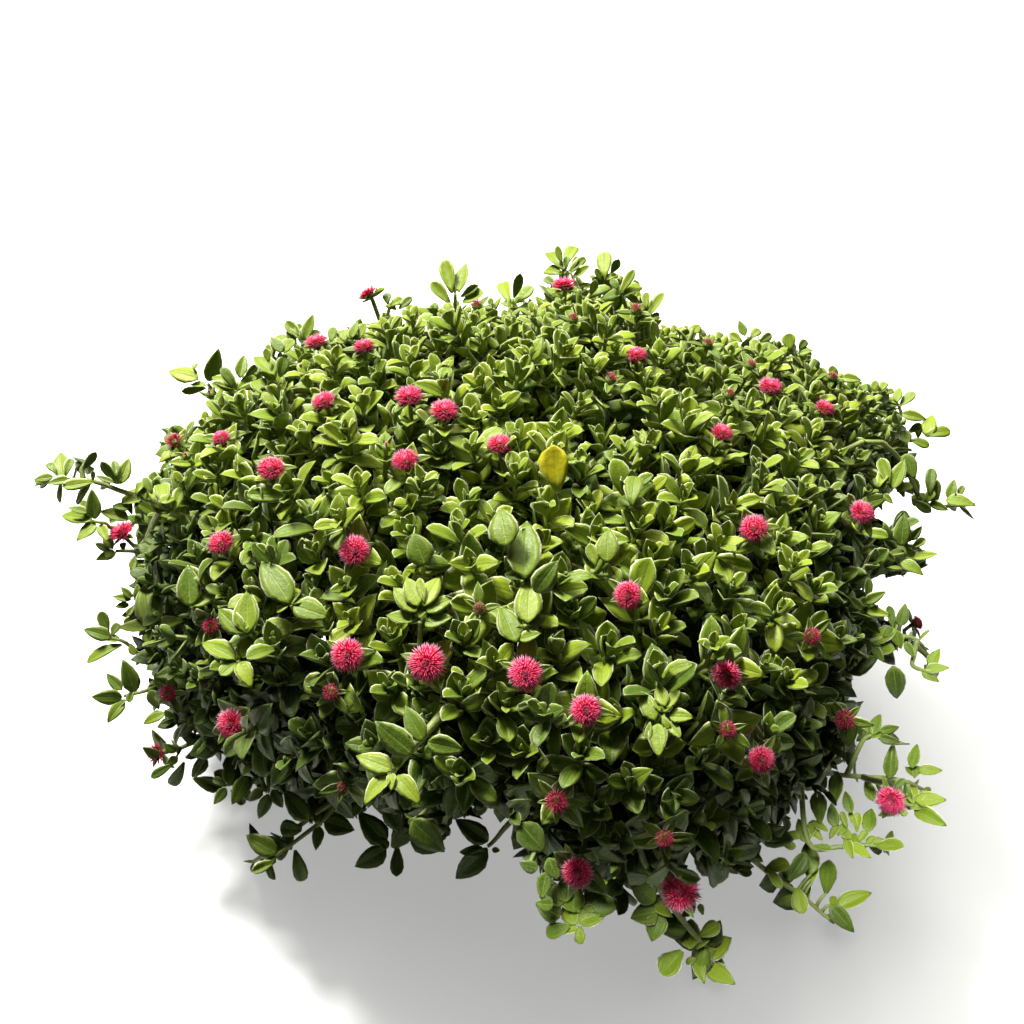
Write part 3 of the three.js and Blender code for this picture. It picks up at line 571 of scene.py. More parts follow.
def make_leaf_material():
    m, nt, bsdf = node_material("succulent_leaf")
    n = N(nt)
    u, v, side = n.attr("place")
    hue, painted_light, dry = n.attr("tint")           # random hue, light and shade painted into the colour, yellowing
    xyz = n.coords()
    av = n.math("ABSOLUTE", v)
    shade = n.mix(hue, rgb(62, 90, 10), rgb(92, 116, 14))
    deep = n.mix(hue, rgb(18, 37, 4), rgb(32, 55, 7))
    painted_sunlit_green = n.mix(hue, rgb(106, 132, 18), rgb(146, 162, 28))
    # painted light and shade: leaves given little light are painted a deep shaded green, middling ones a shaded green,
    # well lit ones a light sunlit yellow-green
    col = n.mix(n.range(painted_light, 0.0, 0.5), deep, shade)
    col = n.mix(n.range(painted_light, 0.45, 1.0), col, painted_sunlit_green)
    # slow change over the blade, paler where the blade joins its stalk
    cloud = n.noise(xyz, 95.0, 2.0, 0.55)
    col = n.mix(n.range(cloud, 0.35, 0.75, 0.0, 0.3), col, n.mix(0.4, col, rgb(150, 172, 50)))
    base = n.range(u, 0.0, 0.22, 0.4, 0.0)
    col = n.mix(base, col, rgb(136, 162, 58))
    # fine crystalline cells
    cells = n.voronoi(xyz, 1000.0)
    col = n.mix(n.range(cells, 0.05, 0.6, 0.26, 0.0), col, n.mix(0.45, col, rgb(190, 204, 112)))
    # middle channel
    rib = n.range(av, 0.0, 0.10, 1.0, 0.0)
    rib = n.math("MULTIPLY", rib, n.range(u, 0.15, 0.95, 0.55, 0.1, smooth=False))
    col = n.mix(n.math("MULTIPLY", rib, 0.7), col, rgb(160, 178, 80))
    # paler, duller underside and a thin pale margin
    under = n.range(side, 0.15, 0.45, 1.0, 0.0)
    col = n.mix(n.math("MULTIPLY", under, 0.28), col, rgb(116, 142, 60))
    # the blade is deeper green in its middle and lighter towards the rim
    col = n.mix(n.range(av, 0.35, 0.9, 0.0, 0.26), col, n.mix(0.5, col, rgb(166, 182, 62)))
    # the thin pale margin is the leaf's own colour, with a painted highlight: it is painted near-white on leaves given
    # much light and stays dim in painted shade
    margin = n.math("MULTIPLY", n.range(av, 0.84, 0.95), n.range(u, 0.05, 0.2))
    tip = n.range(u, 0.95, 1.0)
    edge = n.math("MAXIMUM", margin, tip)
    col = n.mix(n.math("MULTIPLY", edge, n.range(painted_light, 0.0, 0.7, 0.62, 0.9)), col, n.mix(n.range(painted_light, 0.1, 0.8), rgb(138, 152, 100), rgb(234, 236, 196)))
    # ageing leaves turn yellow, then straw
    blotch = n.noise(xyz, 260.0, 1.0, 0.6)
    old = n.mix(n.range(blotch, 0.35, 0.7), rgb(192, 184, 10), rgb(170, 162, 14))
    brown = n.mix(n.range(blotch, 0.3, 0.7), rgb(120, 84, 46), rgb(74, 50, 30))
    col = n.mix(n.math("MULTIPLY", n.range(dry, 0.1, 0.4), n.range(u, 0.05, 0.45, 0.25, 1.0)), col, old)
    col = n.mix(n.range(dry, 0.6, 0.95), col, brown)
    nt.links.new(col, bsdf.inputs["Base Color"])
    rough = n.range(n.noise(xyz, 420.0, 2.0, 0.5), 0.3, 0.7, 0.42, 0.58, smooth=False)
    rough = n.math("ADD", rough, n.range(dry, 0.5, 1.0, 0.0, 0.35))
    nt.links.new(rough, bsdf.inputs["Roughness"])
    h = n.bump(n.noise(xyz, 1300.0, 0.0), 0.38, 0.00030)
    h = n.bump(n.range(av, 0.0, 0.16, 0.0, 1.0), 0.35, 0.0005, h)
    h = n.bump(n.noise(xyz, 330.0, 2.0, 0.5), 0.35, 0.0007, h)
    nt.links.new(h, bsdf.inputs["Normal"])
    bsdf.inputs["Specular IOR Level"].default_value = 0.42
    bsdf.inputs["IOR"].default_value = 1.42
    bsdf.inputs["Sheen Weight"].default_value = 0.09
    bsdf.inputs["Sheen Roughness"].default_value = 0.45
    bsdf.inputs["Sheen Tint"].default_value = (1.0, 0.99, 0.93, 1.0)
    return m


def make_stem_material():
    m, nt, bsdf = node_material("fleshy_stem")
    n = N(nt)
    s, cx, cy = n.attr("place")
    hue, age, red = n.attr("tint")
    xyz = n.coords()
    green = n.mix(hue, rgb(118, 138, 62), rgb(146, 160, 84))
    col = n.mix(n.range(age, 0.2, 0.7), green, rgb(150, 140, 92))
    col = n.mix(n.range(age, 0.65, 1.0), col, rgb(112, 88, 58))
    col = n.mix(n.math("MULTIPLY", n.range(n.noise(xyz, 140.0, 2.0), 0.45, 0.7), red), col, rgb(150, 92, 66))
    cells = n.voronoi(xyz, 1300.0)
    col = n.mix(n.range(cells, 0.05, 0.6, 0.35, 0.0), col, rgb(190, 198, 136))
    nt.links.new(col, bsdf.inputs["Base Color"])
    nt.links.new(n.range(n.noise(xyz, 300.0), 0.3, 0.7, 0.42, 0.62), bsdf.inputs["Roughness"])
    h = n.bump(cells, 0.45, 0.0003)
    h = n.bump(n.noise(xyz, 220.0, 3.0), 0.4, 0.0009, h)
    nt.links.new(h, bsdf.inputs["Normal"])
    return m


def make_petal_material():
    m, nt, bsdf = node_material("petal")
    n = N(nt)
    u, v, kind = n.attr("place")              # along the petal, across, 0 petal / 1 stamen
    hue, fade, painted_shade_and_bud_tone = n.attr("tint")
    xyz = n.coords()
    body = n.mix(hue, rgb(236, 20, 70), rgb(252, 40, 104))
    body = n.mix(n.range(u, 0.0, 0.35, 0.3, 0.0), body, rgb(236, 52, 74))
    body = n.mix(n.range(u, 0.60, 0.95, 0.0, 0.75), body, rgb(252, 172, 200))
    streak = n.noise(xyz, 900.0, 2.0)
    body = n.mix(n.range(streak, 0.45, 0.75, 0.0, 0.20), body, rgb(250, 110, 150))
    # painted shade on flowers that stand in the shade, and the somewhat darker own tone of buds and fading flowers
    body = n.mix(n.range(painted_shade_and_bud_tone, 0.0, 1.0), body, n.mix(0.7, body, rgb(112, 8, 40)))
    dead = n.mix(n.range(streak, 0.3, 0.7), rgb(168, 104, 96), rgb(126, 82, 56))
    body = n.mix(n.range(fade, 0.0, 1.0), body, dead)
    stamen = n.mix(n.range(u, 0.5, 1.0), rgb(238, 190, 196), rgb(246, 232, 178))
    col = n.mix(kind, body, stamen)
    nt.links.new(col, bsdf.inputs["Base Color"])
    nt.links.new(n.range(streak, 0.3, 0.7, 0.38, 0.55), bsdf.inputs["Roughness"])
    nt.links.new(n.bump(n.noise(xyz, 1500.0, 2.0), 0.3, 0.0002), bsdf.inputs["Normal"])
    bsdf.inputs["Subsurface Weight"].default_value = 0.3
    bsdf.inputs["Subsurface Radius"].default_value = (1.0, 0.12, 0.25)
    bsdf.inputs["Subsurface Scale"].default_value = 0.0016
    bsdf.inputs["Specular IOR Level"].default_value = 0.3
    return m


def make_terracotta():
    m, nt, bsdf = node_material("terracotta")
    n = N(nt)
    xyz = n.coords()
    sep = n.node("ShaderNodeSeparateXYZ"); nt.links.new(xyz, sep.inputs[0])
    z = sep.outputs[2]
    big, mid, fine = n.noise(xyz, 14.0, 4.0, 0.6), n.noise(xyz, 70.0, 4.0, 0.6), n.noise(xyz, 620.0, 3.0, 0.6)
    col = n.mix(n.range(big, 0.3, 0.7), rgb(176, 98, 66), rgb(196, 120, 84))
    col = n.mix(n.range(mid, 0.4, 0.75, 0.0, 0.5), col, rgb(160, 84, 56))
    col = n.mix(n.range(fine, 0.45, 0.7, 0.0, 0.35), col, rgb(214, 150, 116))
    # lime bloom and damp near the foot, pale wear at the rim
    damp = n.math("MULTIPLY", n.range(z, 0.0, 0.06, 1.0, 0.0), n.range(mid, 0.35, 0.65))
    col = n.mix(n.math("MULTIPLY", damp, 0.5), col, rgb(120, 72, 52))
    bloom = n.math("MULTIPLY", n.range(n.noise(xyz, 26.0, 5.0, 0.65), 0.5, 0.7), n.range(z, 0.01, 0.10, 0.9, 0.35))
    col = n.mix(n.math("MULTIPLY", bloom, 0.55), col, rgb(216, 196, 176))
    wear = n.math("MULTIPLY", n.range(z, 0.119, 0.1245), n.range(mid, 0.3, 0.6))
    col = n.mix(n.math("MULTIPLY", wear, 0.45), col, rgb(222, 172, 142))
    nt.links.new(col, bsdf.inputs["Base Color"])
    nt.links.new(n.range(mid, 0.3, 0.7, 0.78, 0.95), bsdf.inputs["Roughness"])
    # turning marks and grain
    wave = n.node("ShaderNodeTexWave", wave_type="BANDS", bands_direction="Z")
    nt.links.new(xyz, wave.inputs["Vector"])
    wave.inputs["Scale"].default_value = 90.0; wave.inputs["Distortion"].default_value = 1.2; wave.inputs["Detail"].default_value = 2.0
    h = n.bump(wave.outputs["Fac"], 0.18, 0.0006)
    h = n.bump(fine, 0.5, 0.0005, h)
    h = n.bump(mid, 0.3, 0.0012, h)
    nt.links.new(h, bsdf.inputs["Normal"])
    bsdf.inputs["Specular IOR Level"].default_value = 0.3
    return m


def make_soil():
    m, nt, bsdf = node_material("potting_soil")
    n = N(nt)
    xyz = n.coords()
    lump, grain = n.noise(xyz, 120.0, 4.0, 0.65), n.voronoi(xyz, 520.0)
    col = n.mix(n.range(lump, 0.35, 0.7), rgb(40, 28, 20), rgb(78, 56, 40))
    col = n.mix(n.range(grain, 0.02, 0.18, 0.5, 0.0), col, rgb(124, 98, 72))
    nt.links.new(col, bsdf.inputs["Base Color"])
    bsdf.inputs["Roughness"].default_value = 0.95
    nt.links.new(n.range(lump, 0.3, 0.7, 0.85, 1.0), bsdf.inputs["Roughness"])
    h = n.bump(grain, 0.8, 0.002)
    h = n.bump(lump, 0.8, 0.004, h)
    nt.links.new(h, bsdf.inputs["Normal"])
    return m


def make_bark():
    m, nt, bsdf = node_material("woody_crown")
    n = N(nt)
    xyz = n.coords()
    a, b = n.noise(xyz, 90.0, 4.0, 0.6), n.noise(xyz, 420.0, 3.0, 0.6)
    col = n.mix(n.range(a, 0.3, 0.7), rgb(92, 70, 46), rgb(140, 116, 82))
    col = n.mix(n.range(b, 0.45, 0.7, 0.0, 0.5), col, rgb(60, 44, 30))
    nt.links.new(col, bsdf.inputs["Base Color"])
    nt.links.new(n.range(b, 0.3, 0.7, 0.7, 0.95), bsdf.inputs["Roughness"])
    h = n.bump(b, 0.7, 0.0012)
    h = n.bump(a, 0.7, 0.003, h)
    nt.links.new(h, bsdf.inputs["Normal"])
    return m


def make_floor():
    m, nt, bsdf = node_material("pale_floor")
    n = N(nt)
    xyz = n.coords()
    col = n.mix(n.range(n.noise(xyz, 5.0, 3.0), 0.3, 0.7), (0.80, 0.80, 0.79, 1), (0.84, 0.84, 0.83, 1))
    nt.links.new(col, bsdf.inputs["Base Color"])
    bsdf.inputs["Roughness"].default_value = 0.9
    return m


LEAF, STEM, PETAL = make_leaf_material(), make_stem_material(), make_petal_material()
CLAY, SOIL, BARK = make_terracotta(), make_soil(), make_bark()


def finish_piece(ob, slot, *nodes):
    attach(ob, "root")
    if nodes:
        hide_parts(*nodes)
    return ob


# ------------------------------------------------------------------ pot
def pot_outer(z):
    """Outer radius of the pot at a height."""
    rb = POT["h"] - POT["band"]
    return np.where(np.asarray(z) < rb, POT["base"] + (POT["neck"] - POT["base"]) * np.asarray(z) / rb, POT["rim"])


def lathe(name, profile, segments, material, wobble=0.0, seed=0.0):
    P = np.asarray(profile, float)
    n = len(P)
    a = np.arange(segments) * 2 * math.pi / segments
    V = []
    for r, z in P:
        rr = np.full(segments, r)
        if wobble and r > 0.02:
            rr = rr + wobble * np.array([noise.noise(Vector((math.cos(t) * 2, math.sin(t) * 2, z * 30 + seed))) for t in a])
        V.append(np.c_[rr * np.cos(a), rr * np.sin(a), np.full(segments, z)])
    first, last = P[0][0] == 0, P[-1][0] == 0
    rings = V[1 if first else 0: n - 1 if last else n]
    m = len(rings)
    verts = np.concatenate(rings + ([np.array([[0, 0, P[0][1]]])] if first else []) + ([np.array([[0, 0, P[-1][1]]])] if last else []))
    k = np.arange(segments); k2 = (k + 1) % segments
    flat, sizes = [], []
    for i in range(m - 1):
        flat.append(np.stack([i * segments + k, i * segments + k2, (i + 1) * segments + k2, (i + 1) * segments + k], 1).ravel())
        sizes += [4] * segments
    c = m * segments
    if first:
        flat.append(np.stack([np.full(segments, c), k2, k], 1).ravel()); sizes += [3] * segments
        c += 1
    if last:
        flat.append(np.stack([np.full(segments, c), (m - 1) * segments + k, (m - 1) * segments + k2], 1).ravel()); sizes += [3] * segments
    return new_object(name, verts, np.concatenate(flat), sizes, material)


def rounded(profile, radius, steps=3):
    """Rounds the corners of a profile."""
    P = [np.array(p, float) for p in profile]
    out = [P[0]]
    for a, b, c in zip(P[:-2], P[1:-1], P[2:]):
        d0, d1 = np.linalg.norm(a - b), np.linalg.norm(c - b)
        r = min(radius, 0.45 * d0, 0.45 * d1)
        p, q = b + (a - b) / d0 * r, b + (c - b) / d1 * r
        for t in np.linspace(0, 1, steps + 1):
            out.append((1 - t) ** 2 * p + 2 * t * (1 - t) * b + t * t * q)
    out.append(P[-1])
    return out


def dense(profile, step):
    out = [np.array(profile[0], float)]
    for a, b in zip(profile[:-1], profile[1:]):
        a, b = np.array(a, float), np.array(b, float)
        n = max(1, int(math.ceil(np.linalg.norm(b - a) / step)))
        for i in range(1, n + 1):
            out.append(a + (b - a) * i / n)
    return out


def make_pot():
    h, w, nr, rb, b = POT["h"], POT["wall"], POT["neck"], POT["h"] - POT["band"], POT["base"]
    o = lambda z: b + (nr - b) * z / rb
    f = POT["floor"]
    prof = [(0, 0), (b - 0.003, 0), (b, 0.003), (nr, rb), (POT["rim"] - 0.003, rb + 0.0015),
            (POT["rim"], rb + 0.006), (POT["rim"], h - 0.005), (POT["rim"] - 0.0035, h), (POT["rim"] - 0.008, h), (POT["rim"] - 0.011, h - 0.004),
            (nr - w, rb), (o(f) - w - 0.002, f + 0.002), (o(f) - w - 0.006, f), (0, f)]
    prof = dense(rounded(prof, 0.0022, 3), 0.020)
    ob = lathe("clay_pot", prof, 96, CLAY, wobble=0.0006, seed=3.0)
    # three drain holes
    cutters = []
    for k in range(3):
        a = math.radians(30 + 120 * k)
        V, flat, sizes, *_ = tube([(0.046 * math.cos(a), 0.046 * math.sin(a), -0.004), (0.046 * math.cos(a), 0.046 * math.sin(a), 0.014)], [0.006, 0.006], 28)
        c = new_object(f"cut_{k}", V, flat, sizes, CLAY)
        mod = ob.modifiers.new(f"hole_{k}", "BOOLEAN"); mod.operation = "DIFFERENCE"; mod.object = c; mod.solver = "EXACT"
        cutters.append(c)
    dg = bpy.context.evaluated_depsgraph_get()
    me = bpy.data.meshes.new_from_object(ob.evaluated_get(dg))
    ob.modifiers.clear()
    old = ob.data; ob.data = me; bpy.data.meshes.remove(old)
    for c in cutters:
        bpy.data.objects.remove(c)
    me.shade_smooth()
    me.set_sharp_from_angle(angle=math.radians(38))
    return ob


finish_piece(make_pot(), "terracotta", "pot")


def make_soil_piece():
    w, nr, b, rb = POT["wall"] + 0.0003, POT["neck"], POT["base"], POT["h"] - POT["band"]
    o = lambda z: b + (nr - b) * z / rb
    f = POT["floor"]
    prof = [(0, f + 0.0003), (o(f) - w - 0.007, f + 0.0003), (o(f) - w - 0.0026, f + 0.0026), (nr - w - 0.0004, rb), (nr - w - 0.0004, 0.1035)]
    top = [(r, 0.1035 + 0.0045 * (1 - r / 0.106)) for r in np.linspace(nr - w - 0.003, 0.0, 26)]
    ob = lathe("soil_fill", dense(prof, 0.03) + top, 84, SOIL)
    me = ob.data
    co = np.empty(len(me.vertices) * 3, np.float32); me.vertices.foreach_get("co", co); co = co.reshape(-1, 3)
    r = np.hypot(co[:, 0], co[:, 1])
    sel = np.where((co[:, 2] > 0.1) & (r < nr - w - 0.002))[0]
    for i in sel:
        p = Vector(co[i])
        co[i, 2] += 0.0022 * noise.fractal(p * 120, 1.0, 2.2, 4) + 0.0018 * abs(noise.noise(p * 330))
    me.vertices.foreach_set("co", co.ravel()); me.update()
    return ob


finish_piece(make_soil_piece(), "soil", "potting_soil")


def make_soil_chips():
    """Bark chips and grit on the soil."""
    B = Batch()
    for i in range(190):
        a, r = rng.uniform(0, 2 * math.pi), 0.103 * math.sqrt(rng.uniform(0.03, 1))
        if r < 0.019:
            continue
        c = np.array([r * math.cos(a), r * math.sin(a), 0.1055 + 0.0042 * (1 - r / 0.106)])
        s = rng.uniform(0.0012, 0.0036) * np.array([1, rng.uniform(0.4, 0.8), rng.uniform(0.3, 0.6)])
        ax = unit(rng.normal(size=3) * (1, 1, 0.3)); ay = unit(np.cross((0, 0, 1), ax)); az = np.cross(ax, ay)
        M = np.stack([ax, ay, az])
        ring = [(math.cos(t) * q, math.sin(t) * q, z) for z, q in ((-0.6, 0.75), (0.0, 1.0), (0.6, 0.7)) for t in np.arange(6) * math.pi / 3]
        V = np.array(ring) * (1 + 0.28 * rng.uniform(-1, 1, (18, 1))) * s
        V = np.concatenate([V, [[0, 0, -s[2] * 0.8]], [[0, 0, s[2] * 0.8]]])
        flat, sizes = [], []
        for j in range(2):
            for k in range(6):
                flat += [j * 6 + k, j * 6 + (k + 1) % 6, j * 6 + 6 + (k + 1) % 6, j * 6 + 6 + k]; sizes.append(4)
        for k in range(6):
            flat += [18, (k + 1) % 6, k, 19, 12 + k, 12 + (k + 1) % 6]; sizes += [3, 3]
        B.add(c + V @ M, flat, sizes, np.zeros((20, 3)), np.zeros((20, 3)), None)
    return B.build("soil_chips", SOIL, smooth=False)


finish_piece(make_soil_chips(), "soil", "potting_soil")


def make_crown():
    prof = [(0, 0.084), (0.009, 0.088), (0.0135, 0.098), (0.015, 0.108), (0.013, 0.117), (0.008, 0.122), (0, 0.123)]
    ob = lathe("crown_wood", dense(rounded(prof, 0.004, 3), 0.0016), 56, BARK)
    me = ob.data
    for v in me.vertices:
        p = v.co.copy()
        k = 0.0016 * noise.fractal(p * 160, 1.0, 2.0, 3) + 0.0012 * math.sin(9 * math.atan2(p.y, p.x) + p.z * 300)
        r = math.hypot(p.x, p.y)
        if r > 1e-4:
            v.co.x += p.x / r * (k - 0.0012); v.co.y += p.y / r * (k - 0.0012)
    me.update()
    return ob


finish_piece(make_crown(), "bark", "root_crown")
B = Batch()
for az, reach, deep, up in zip((20, 95, 160, 235, 305), (62, 55, 66, 58, 60), (38, 30, 46, 34, 42), (0, 1, 0, 1, 0)):
    c, s = math.cos(math.radians(az)), math.sin(math.radians(az))
    ctrl = np.array([(3 * c, 3 * s, 97), (20 * c, 20 * s, 88), (reach * 0.7 * c, reach * 0.7 * s, 68 + 4 * up), (reach * c, reach * s, deep)]) / 1000
    t = np.linspace(0, 1, 15)
    pts = np.stack([np.interp(t, [0, 0.3, 0.7, 1], ctrl[:, i]) for i in range(3)], 1)
    pts[1:-1] += rng.normal(0, 0.0006, (13, 3))
    B.add(*tube(pts, np.linspace(0.0053, 0.0014, 15), 10)[:5], None)
finish_piece(B.build("thick_roots", BARK), "bark", "root_crown")

# ------------------------------------------------------------------ main stems and branch limbs
main_curves = []
for i, (az, el) in enumerate(MAIN_STEMS):
    end = on_mound(direction(az, el), 0.68)
    phi = math.atan2(end[1], end[0]); c, s = math.cos(phi), math.sin(phi)
    out = unit((end - MOUND) * (1, 1, 0))
    if i == len(MAIN_STEMS) - 1:
        curve = np.array([(0, 0, 0.116), (0.002, 0.004, 0.150), end + (0, 0.006, -0.045), end])
    else:
        curve = np.array([(0.009 * c, 0.009 * s, 0.112), (0.026 * c, 0.026 * s, 0.158), end - out * 0.055 + (0, 0, 0.014), end])
    main_curves.append(curve)


def branch_curve(az, el):
    d = direction(az, el)
    k = 0.76
    hub = on_mound(d, k)
    while k < 0.9 and hub[2] < POT["h"] + 0.010 and math.hypot(hub[0], hub[1]) < POT["rim"] + 0.008:
        hub = on_mound(d, k)
        k += 0.02
    if el > 70:
        i = len(MAIN_STEMS) - 1
    else:
        i = int(np.argmin([abs(((m[0] - az) % 360 + 540) % 360 - 180) for m in MAIN_STEMS[:-1]]))
    t = 0.8 if el > 70 else 0.66 if el > 40 else 0.93 if el > 0 else 0.9 if el > -30 else 0.84
    a = bezier(main_curves[i], t)[0]
    lift = 0.5 if el > 40 else 0.2 if el > 0 else 0.0
    mid = (a + hub) / 2
    out = unit((mid - MOUND) * (1, 1, 0))
    bow = 0.004 if el > 0 else 0.016 if el > -30 else 0.026
    return np.array([a, a + (hub - a) * 0.33 + out * bow + (0, 0, 0.014 * lift), a + (hub - a) * 0.7 + out * bow * 0.8 + (0, 0, 0.010 * lift), hub])


limbs = [branch_curve(az, el) for _, az, el in BRANCHES]
branch_dirs = np.array([direction(az, el) for _, az, el in BRANCHES])
for i, curve in enumerate(main_curves):
    S = Stems()
    pts = bezier(curve, np.linspace(0, 1, 26))
    wig = np.array([[noise.noise(Vector(p * 38 + k * 7.3)) for k in range(3)] for p in pts]) * 0.0016
    wig[0] = wig[-1] = 0
    pts = pts + wig
    rad = np.linspace(0.0042, 0.0027, 26) * (1 + 0.07 * np.sin(np.arange(26) * 1.35 + i))
    S.stem(pts, rad, 12, (0.4, 0.75, 0.5))
    finish_piece(S.build(f"stem_{i + 1:02d}_skin", STEM), "stem", f"main_stem_{i + 1:02d}")

# ------------------------------------------------------------------ shoots
class Piece:
    def __init__(self, name):
        self.name, self.leaves, self.stems = name, Leaves(), Stems()


pieces = [Piece(n) for n, _, _ in BRANCHES]
for k, p in enumerate(pieces):
    p.stems.stem(bezier(limbs[k], np.linspace(0, 1, 10)), np.linspace(0.0026, 0.0022, 10), 8, (0.5, 0.55, 0.4))


def in_the_way(p):
    """True where a leaf would be in the pot or in the surface that it stands on."""
    if p[2] < 0.0016:
        return True
    r = math.hypot(p[0], p[1])
    if p[2] < 0.1265 and r < float(pot_outer(p[2])) + 0.002:
        return not (p[2] > 0.112 and r < 0.10)
    return False


def leaf_pair(piece, P, T, away, opening, length, detail, tint, wide=1.0, up_pull=0.25, variant=None, blunt=0.15, only=None):
    """Two opposite leaves at P on a stem that runs along T."""
    for sign in (1, -1):
        op = math.radians(max(4, opening + rng.normal(0, 7)))
        w = unit(away * sign + rng.normal(0, 0.10, 3))
        w = unit(w - T * (w @ T))
        d = T * math.cos(op) + w * math.sin(op)
        d = unit(d + np.array([0, 0, 1]) * up_pull * 0.35 + rng.normal(0, 0.05, 3))
        n = T - d * (T @ d)
        n = unit(n + np.array([0, 0, 1]) * up_pull + rng.normal(0, 0.10, 3))
        n = unit(n - d * (n @ d))
        L = length * rng.uniform(0.86, 1.12)
        base = P + w * 0.0006
        if any(in_the_way(base + d * L * q) for q in (0.15, 0.6, 1.0)):
            continue
        if only is not None and d @ unit(EYE - P) > only:
            continue
        tn = np.clip(np.array(tint) + rng.normal(0, 1, 3) * (0.22, 0.07, 0.0), 0, 1)
        kind = int(rng.choice(BLUNT)) if rng.uniform() < blunt else int(rng.choice(POINTED))
        piece.leaves.add(detail, kind if variant is None else variant, base, d, n, L, wide * rng.uniform(0.9, 1.12), tn)


def shoot(piece, ctrl, size, details, painted_light, tip_gap=0.0, spin=None, hang=False, radii=(0.0021, 0.0013), pairs=None, up_pull=0.25, red=0.2, sides=6, slim=1.0, blunt=0.15, only=None, knots=7):
    """A leafy shoot along a cubic curve. size: length of a grown leaf."""
    t = np.linspace(0, 1, 25)
    pts = bezier(ctrl, t) if len(ctrl) == 4 else np.asarray(ctrl)
    if len(ctrl) != 4:
        t = np.linspace(0, 1, len(pts))
    seg = np.linalg.norm(np.diff(pts, axis=0), axis=1)
    back = np.concatenate([[0], np.cumsum(seg[::-1])])[::-1]          # distance to the tip
    total = back[0]
    skel = bezier(ctrl, np.linspace(0, 1, knots)) if len(ctrl) == 4 else pts[:: max(1, len(pts) // 12)]
    if len(ctrl) != 4:
        skel = np.concatenate([skel[:-1], pts[-1:]])
    piece.stems.stem(skel, np.linspace(radii[0], radii[1], len(skel)), sides, (rng.uniform(0, 1), 0.10 if total < 0.09 else 0.18, red))
    T_end = unit(pts[-1] - pts[-2])
    side = unit(np.cross(T_end, (0, 0, 1.0) if abs(T_end[2]) < 0.9 else (1.0, 0, 0)))
    spin = rng.uniform(0, math.pi) if spin is None else spin
    k = size / 0.019
    plan = pairs or [(0.0, 0.30, 14), (0.0012, 0.52, 30), (0.0045, 0.76, 46), (0.0100, 0.95, 58), (0.0185, 1.0, 68), (0.0300, 1.0, 74),
                     (0.0440, 0.95, 76), (0.0590, 0.9, 76), (0.0740, 0.85, 76)]
    for j, (b, sc, op) in enumerate(plan):
        b = b * k + tip_gap
        if b > total - 0.004:
            break
        i = int(np.searchsorted(-back, -b))
        i = min(max(i, 1), len(pts) - 1)
        w = (back[i - 1] - b) / max(back[i - 1] - back[i], 1e-9)
        P = pts[i - 1] * (1 - w) + pts[i] * w
        T = unit(pts[i] - pts[i - 1])
        s0 = unit(side - T * (side @ T))
        u0 = np.cross(T, s0)
        a = spin + j * math.pi / 2 + rng.normal(0, 0.12)
        away = s0 * math.cos(a) + u0 * math.sin(a)
        detail = details[min(j, len(details) - 1)]
        # leaf pairs further from the tip get painted shade, and the two pairs at the tip are made lighter
        deep = max(0.0, (b - 0.022) / 0.05)
        leaf_pair(piece, P, T, away, op, size * sc, detail, (rng.uniform(0.1, 0.9), max(0.0, painted_light - 0.35 * deep + (0.16 if j < 2 else 0)), 0.0), wide=slim, up_pull=up_pull,
                  blunt=blunt, only=only)


# size of leaves and spacing of shoots over the mound: larger at the front and low down
def front(p):
    t = np.clip((0.10 - p[1]) / 0.27, 0, 1)
    return float(t * t * (3 - 2 * t))


# Places read off the photograph: x, y in the 1024 frame, width in px, state (0 open, 1 in the shade and given painted
# shade, 2 fading, 3 bud).
FLOWERS = [
    (681, 901, 40, 0, "flower_10"), (427, 667, 38, 0, "flower_01"), (349, 658, 34, 0, "flower_02"), (525, 679, 34, 0, "flower_03"),
    (357, 551, 31, 0, "flower_04"), (628, 598, 28, 0, "flower_05"), (725, 676, 30, 0, "flower_06"), (585, 710, 31, 0, "flower_07"),
    (240, 725, 30, 0, "flower_08"), (577, 871, 31, 0, "flower_09"),
    (225, 542, 26, 0, ""), (275, 469, 27, 0, ""), (411, 398, 28, 0, ""), (446, 412, 28, 0, ""), (500, 445, 25, 0, ""), (407, 461, 27, 0, ""),
    (319, 343, 22, 0, ""), (366, 348, 20, 0, ""), (369, 295, 21, 0, ""), (477, 307, 17, 2, ""), (563, 287, 25, 0, ""), (634, 311, 18, 2, ""),
    (634, 357, 21, 0, ""), (610, 380, 18, 2, ""), (767, 387, 23, 0, ""), (822, 408, 19, 0, ""), (719, 433, 22, 0, ""), (749, 528, 28, 0, ""),
    (858, 512, 25, 0, ""), (758, 757, 27, 0, ""), (885, 799, 30, 0, ""), (125, 531, 30, 0, ""), (326, 402, 23, 0, ""), (178, 441, 17, 1, ""),
    (225, 438, 16, 0, ""), (213, 393, 12, 3, ""), (190, 455, 10, 3, ""), (389, 446, 10, 3, ""), (215, 625, 17, 1, ""),
    (172, 692, 19, 1, ""), (160, 752, 23, 1, ""), (333, 690, 14, 1, ""), (346, 783, 20, 2, ""), (556, 798, 25, 1, ""), (663, 835, 18, 1, ""),
    (725, 727, 16, 1, ""), (839, 718, 22, 1, ""), (808, 635, 18, 1, ""), (915, 621, 15, 0, ""), (726, 394, 12, 2, ""), (705, 344, 11, 2, ""),
    (748, 365, 11, 2, ""), (829, 376, 12, 2, ""), (572, 320, 11, 2, ""), (480, 607, 12, 2, "")]

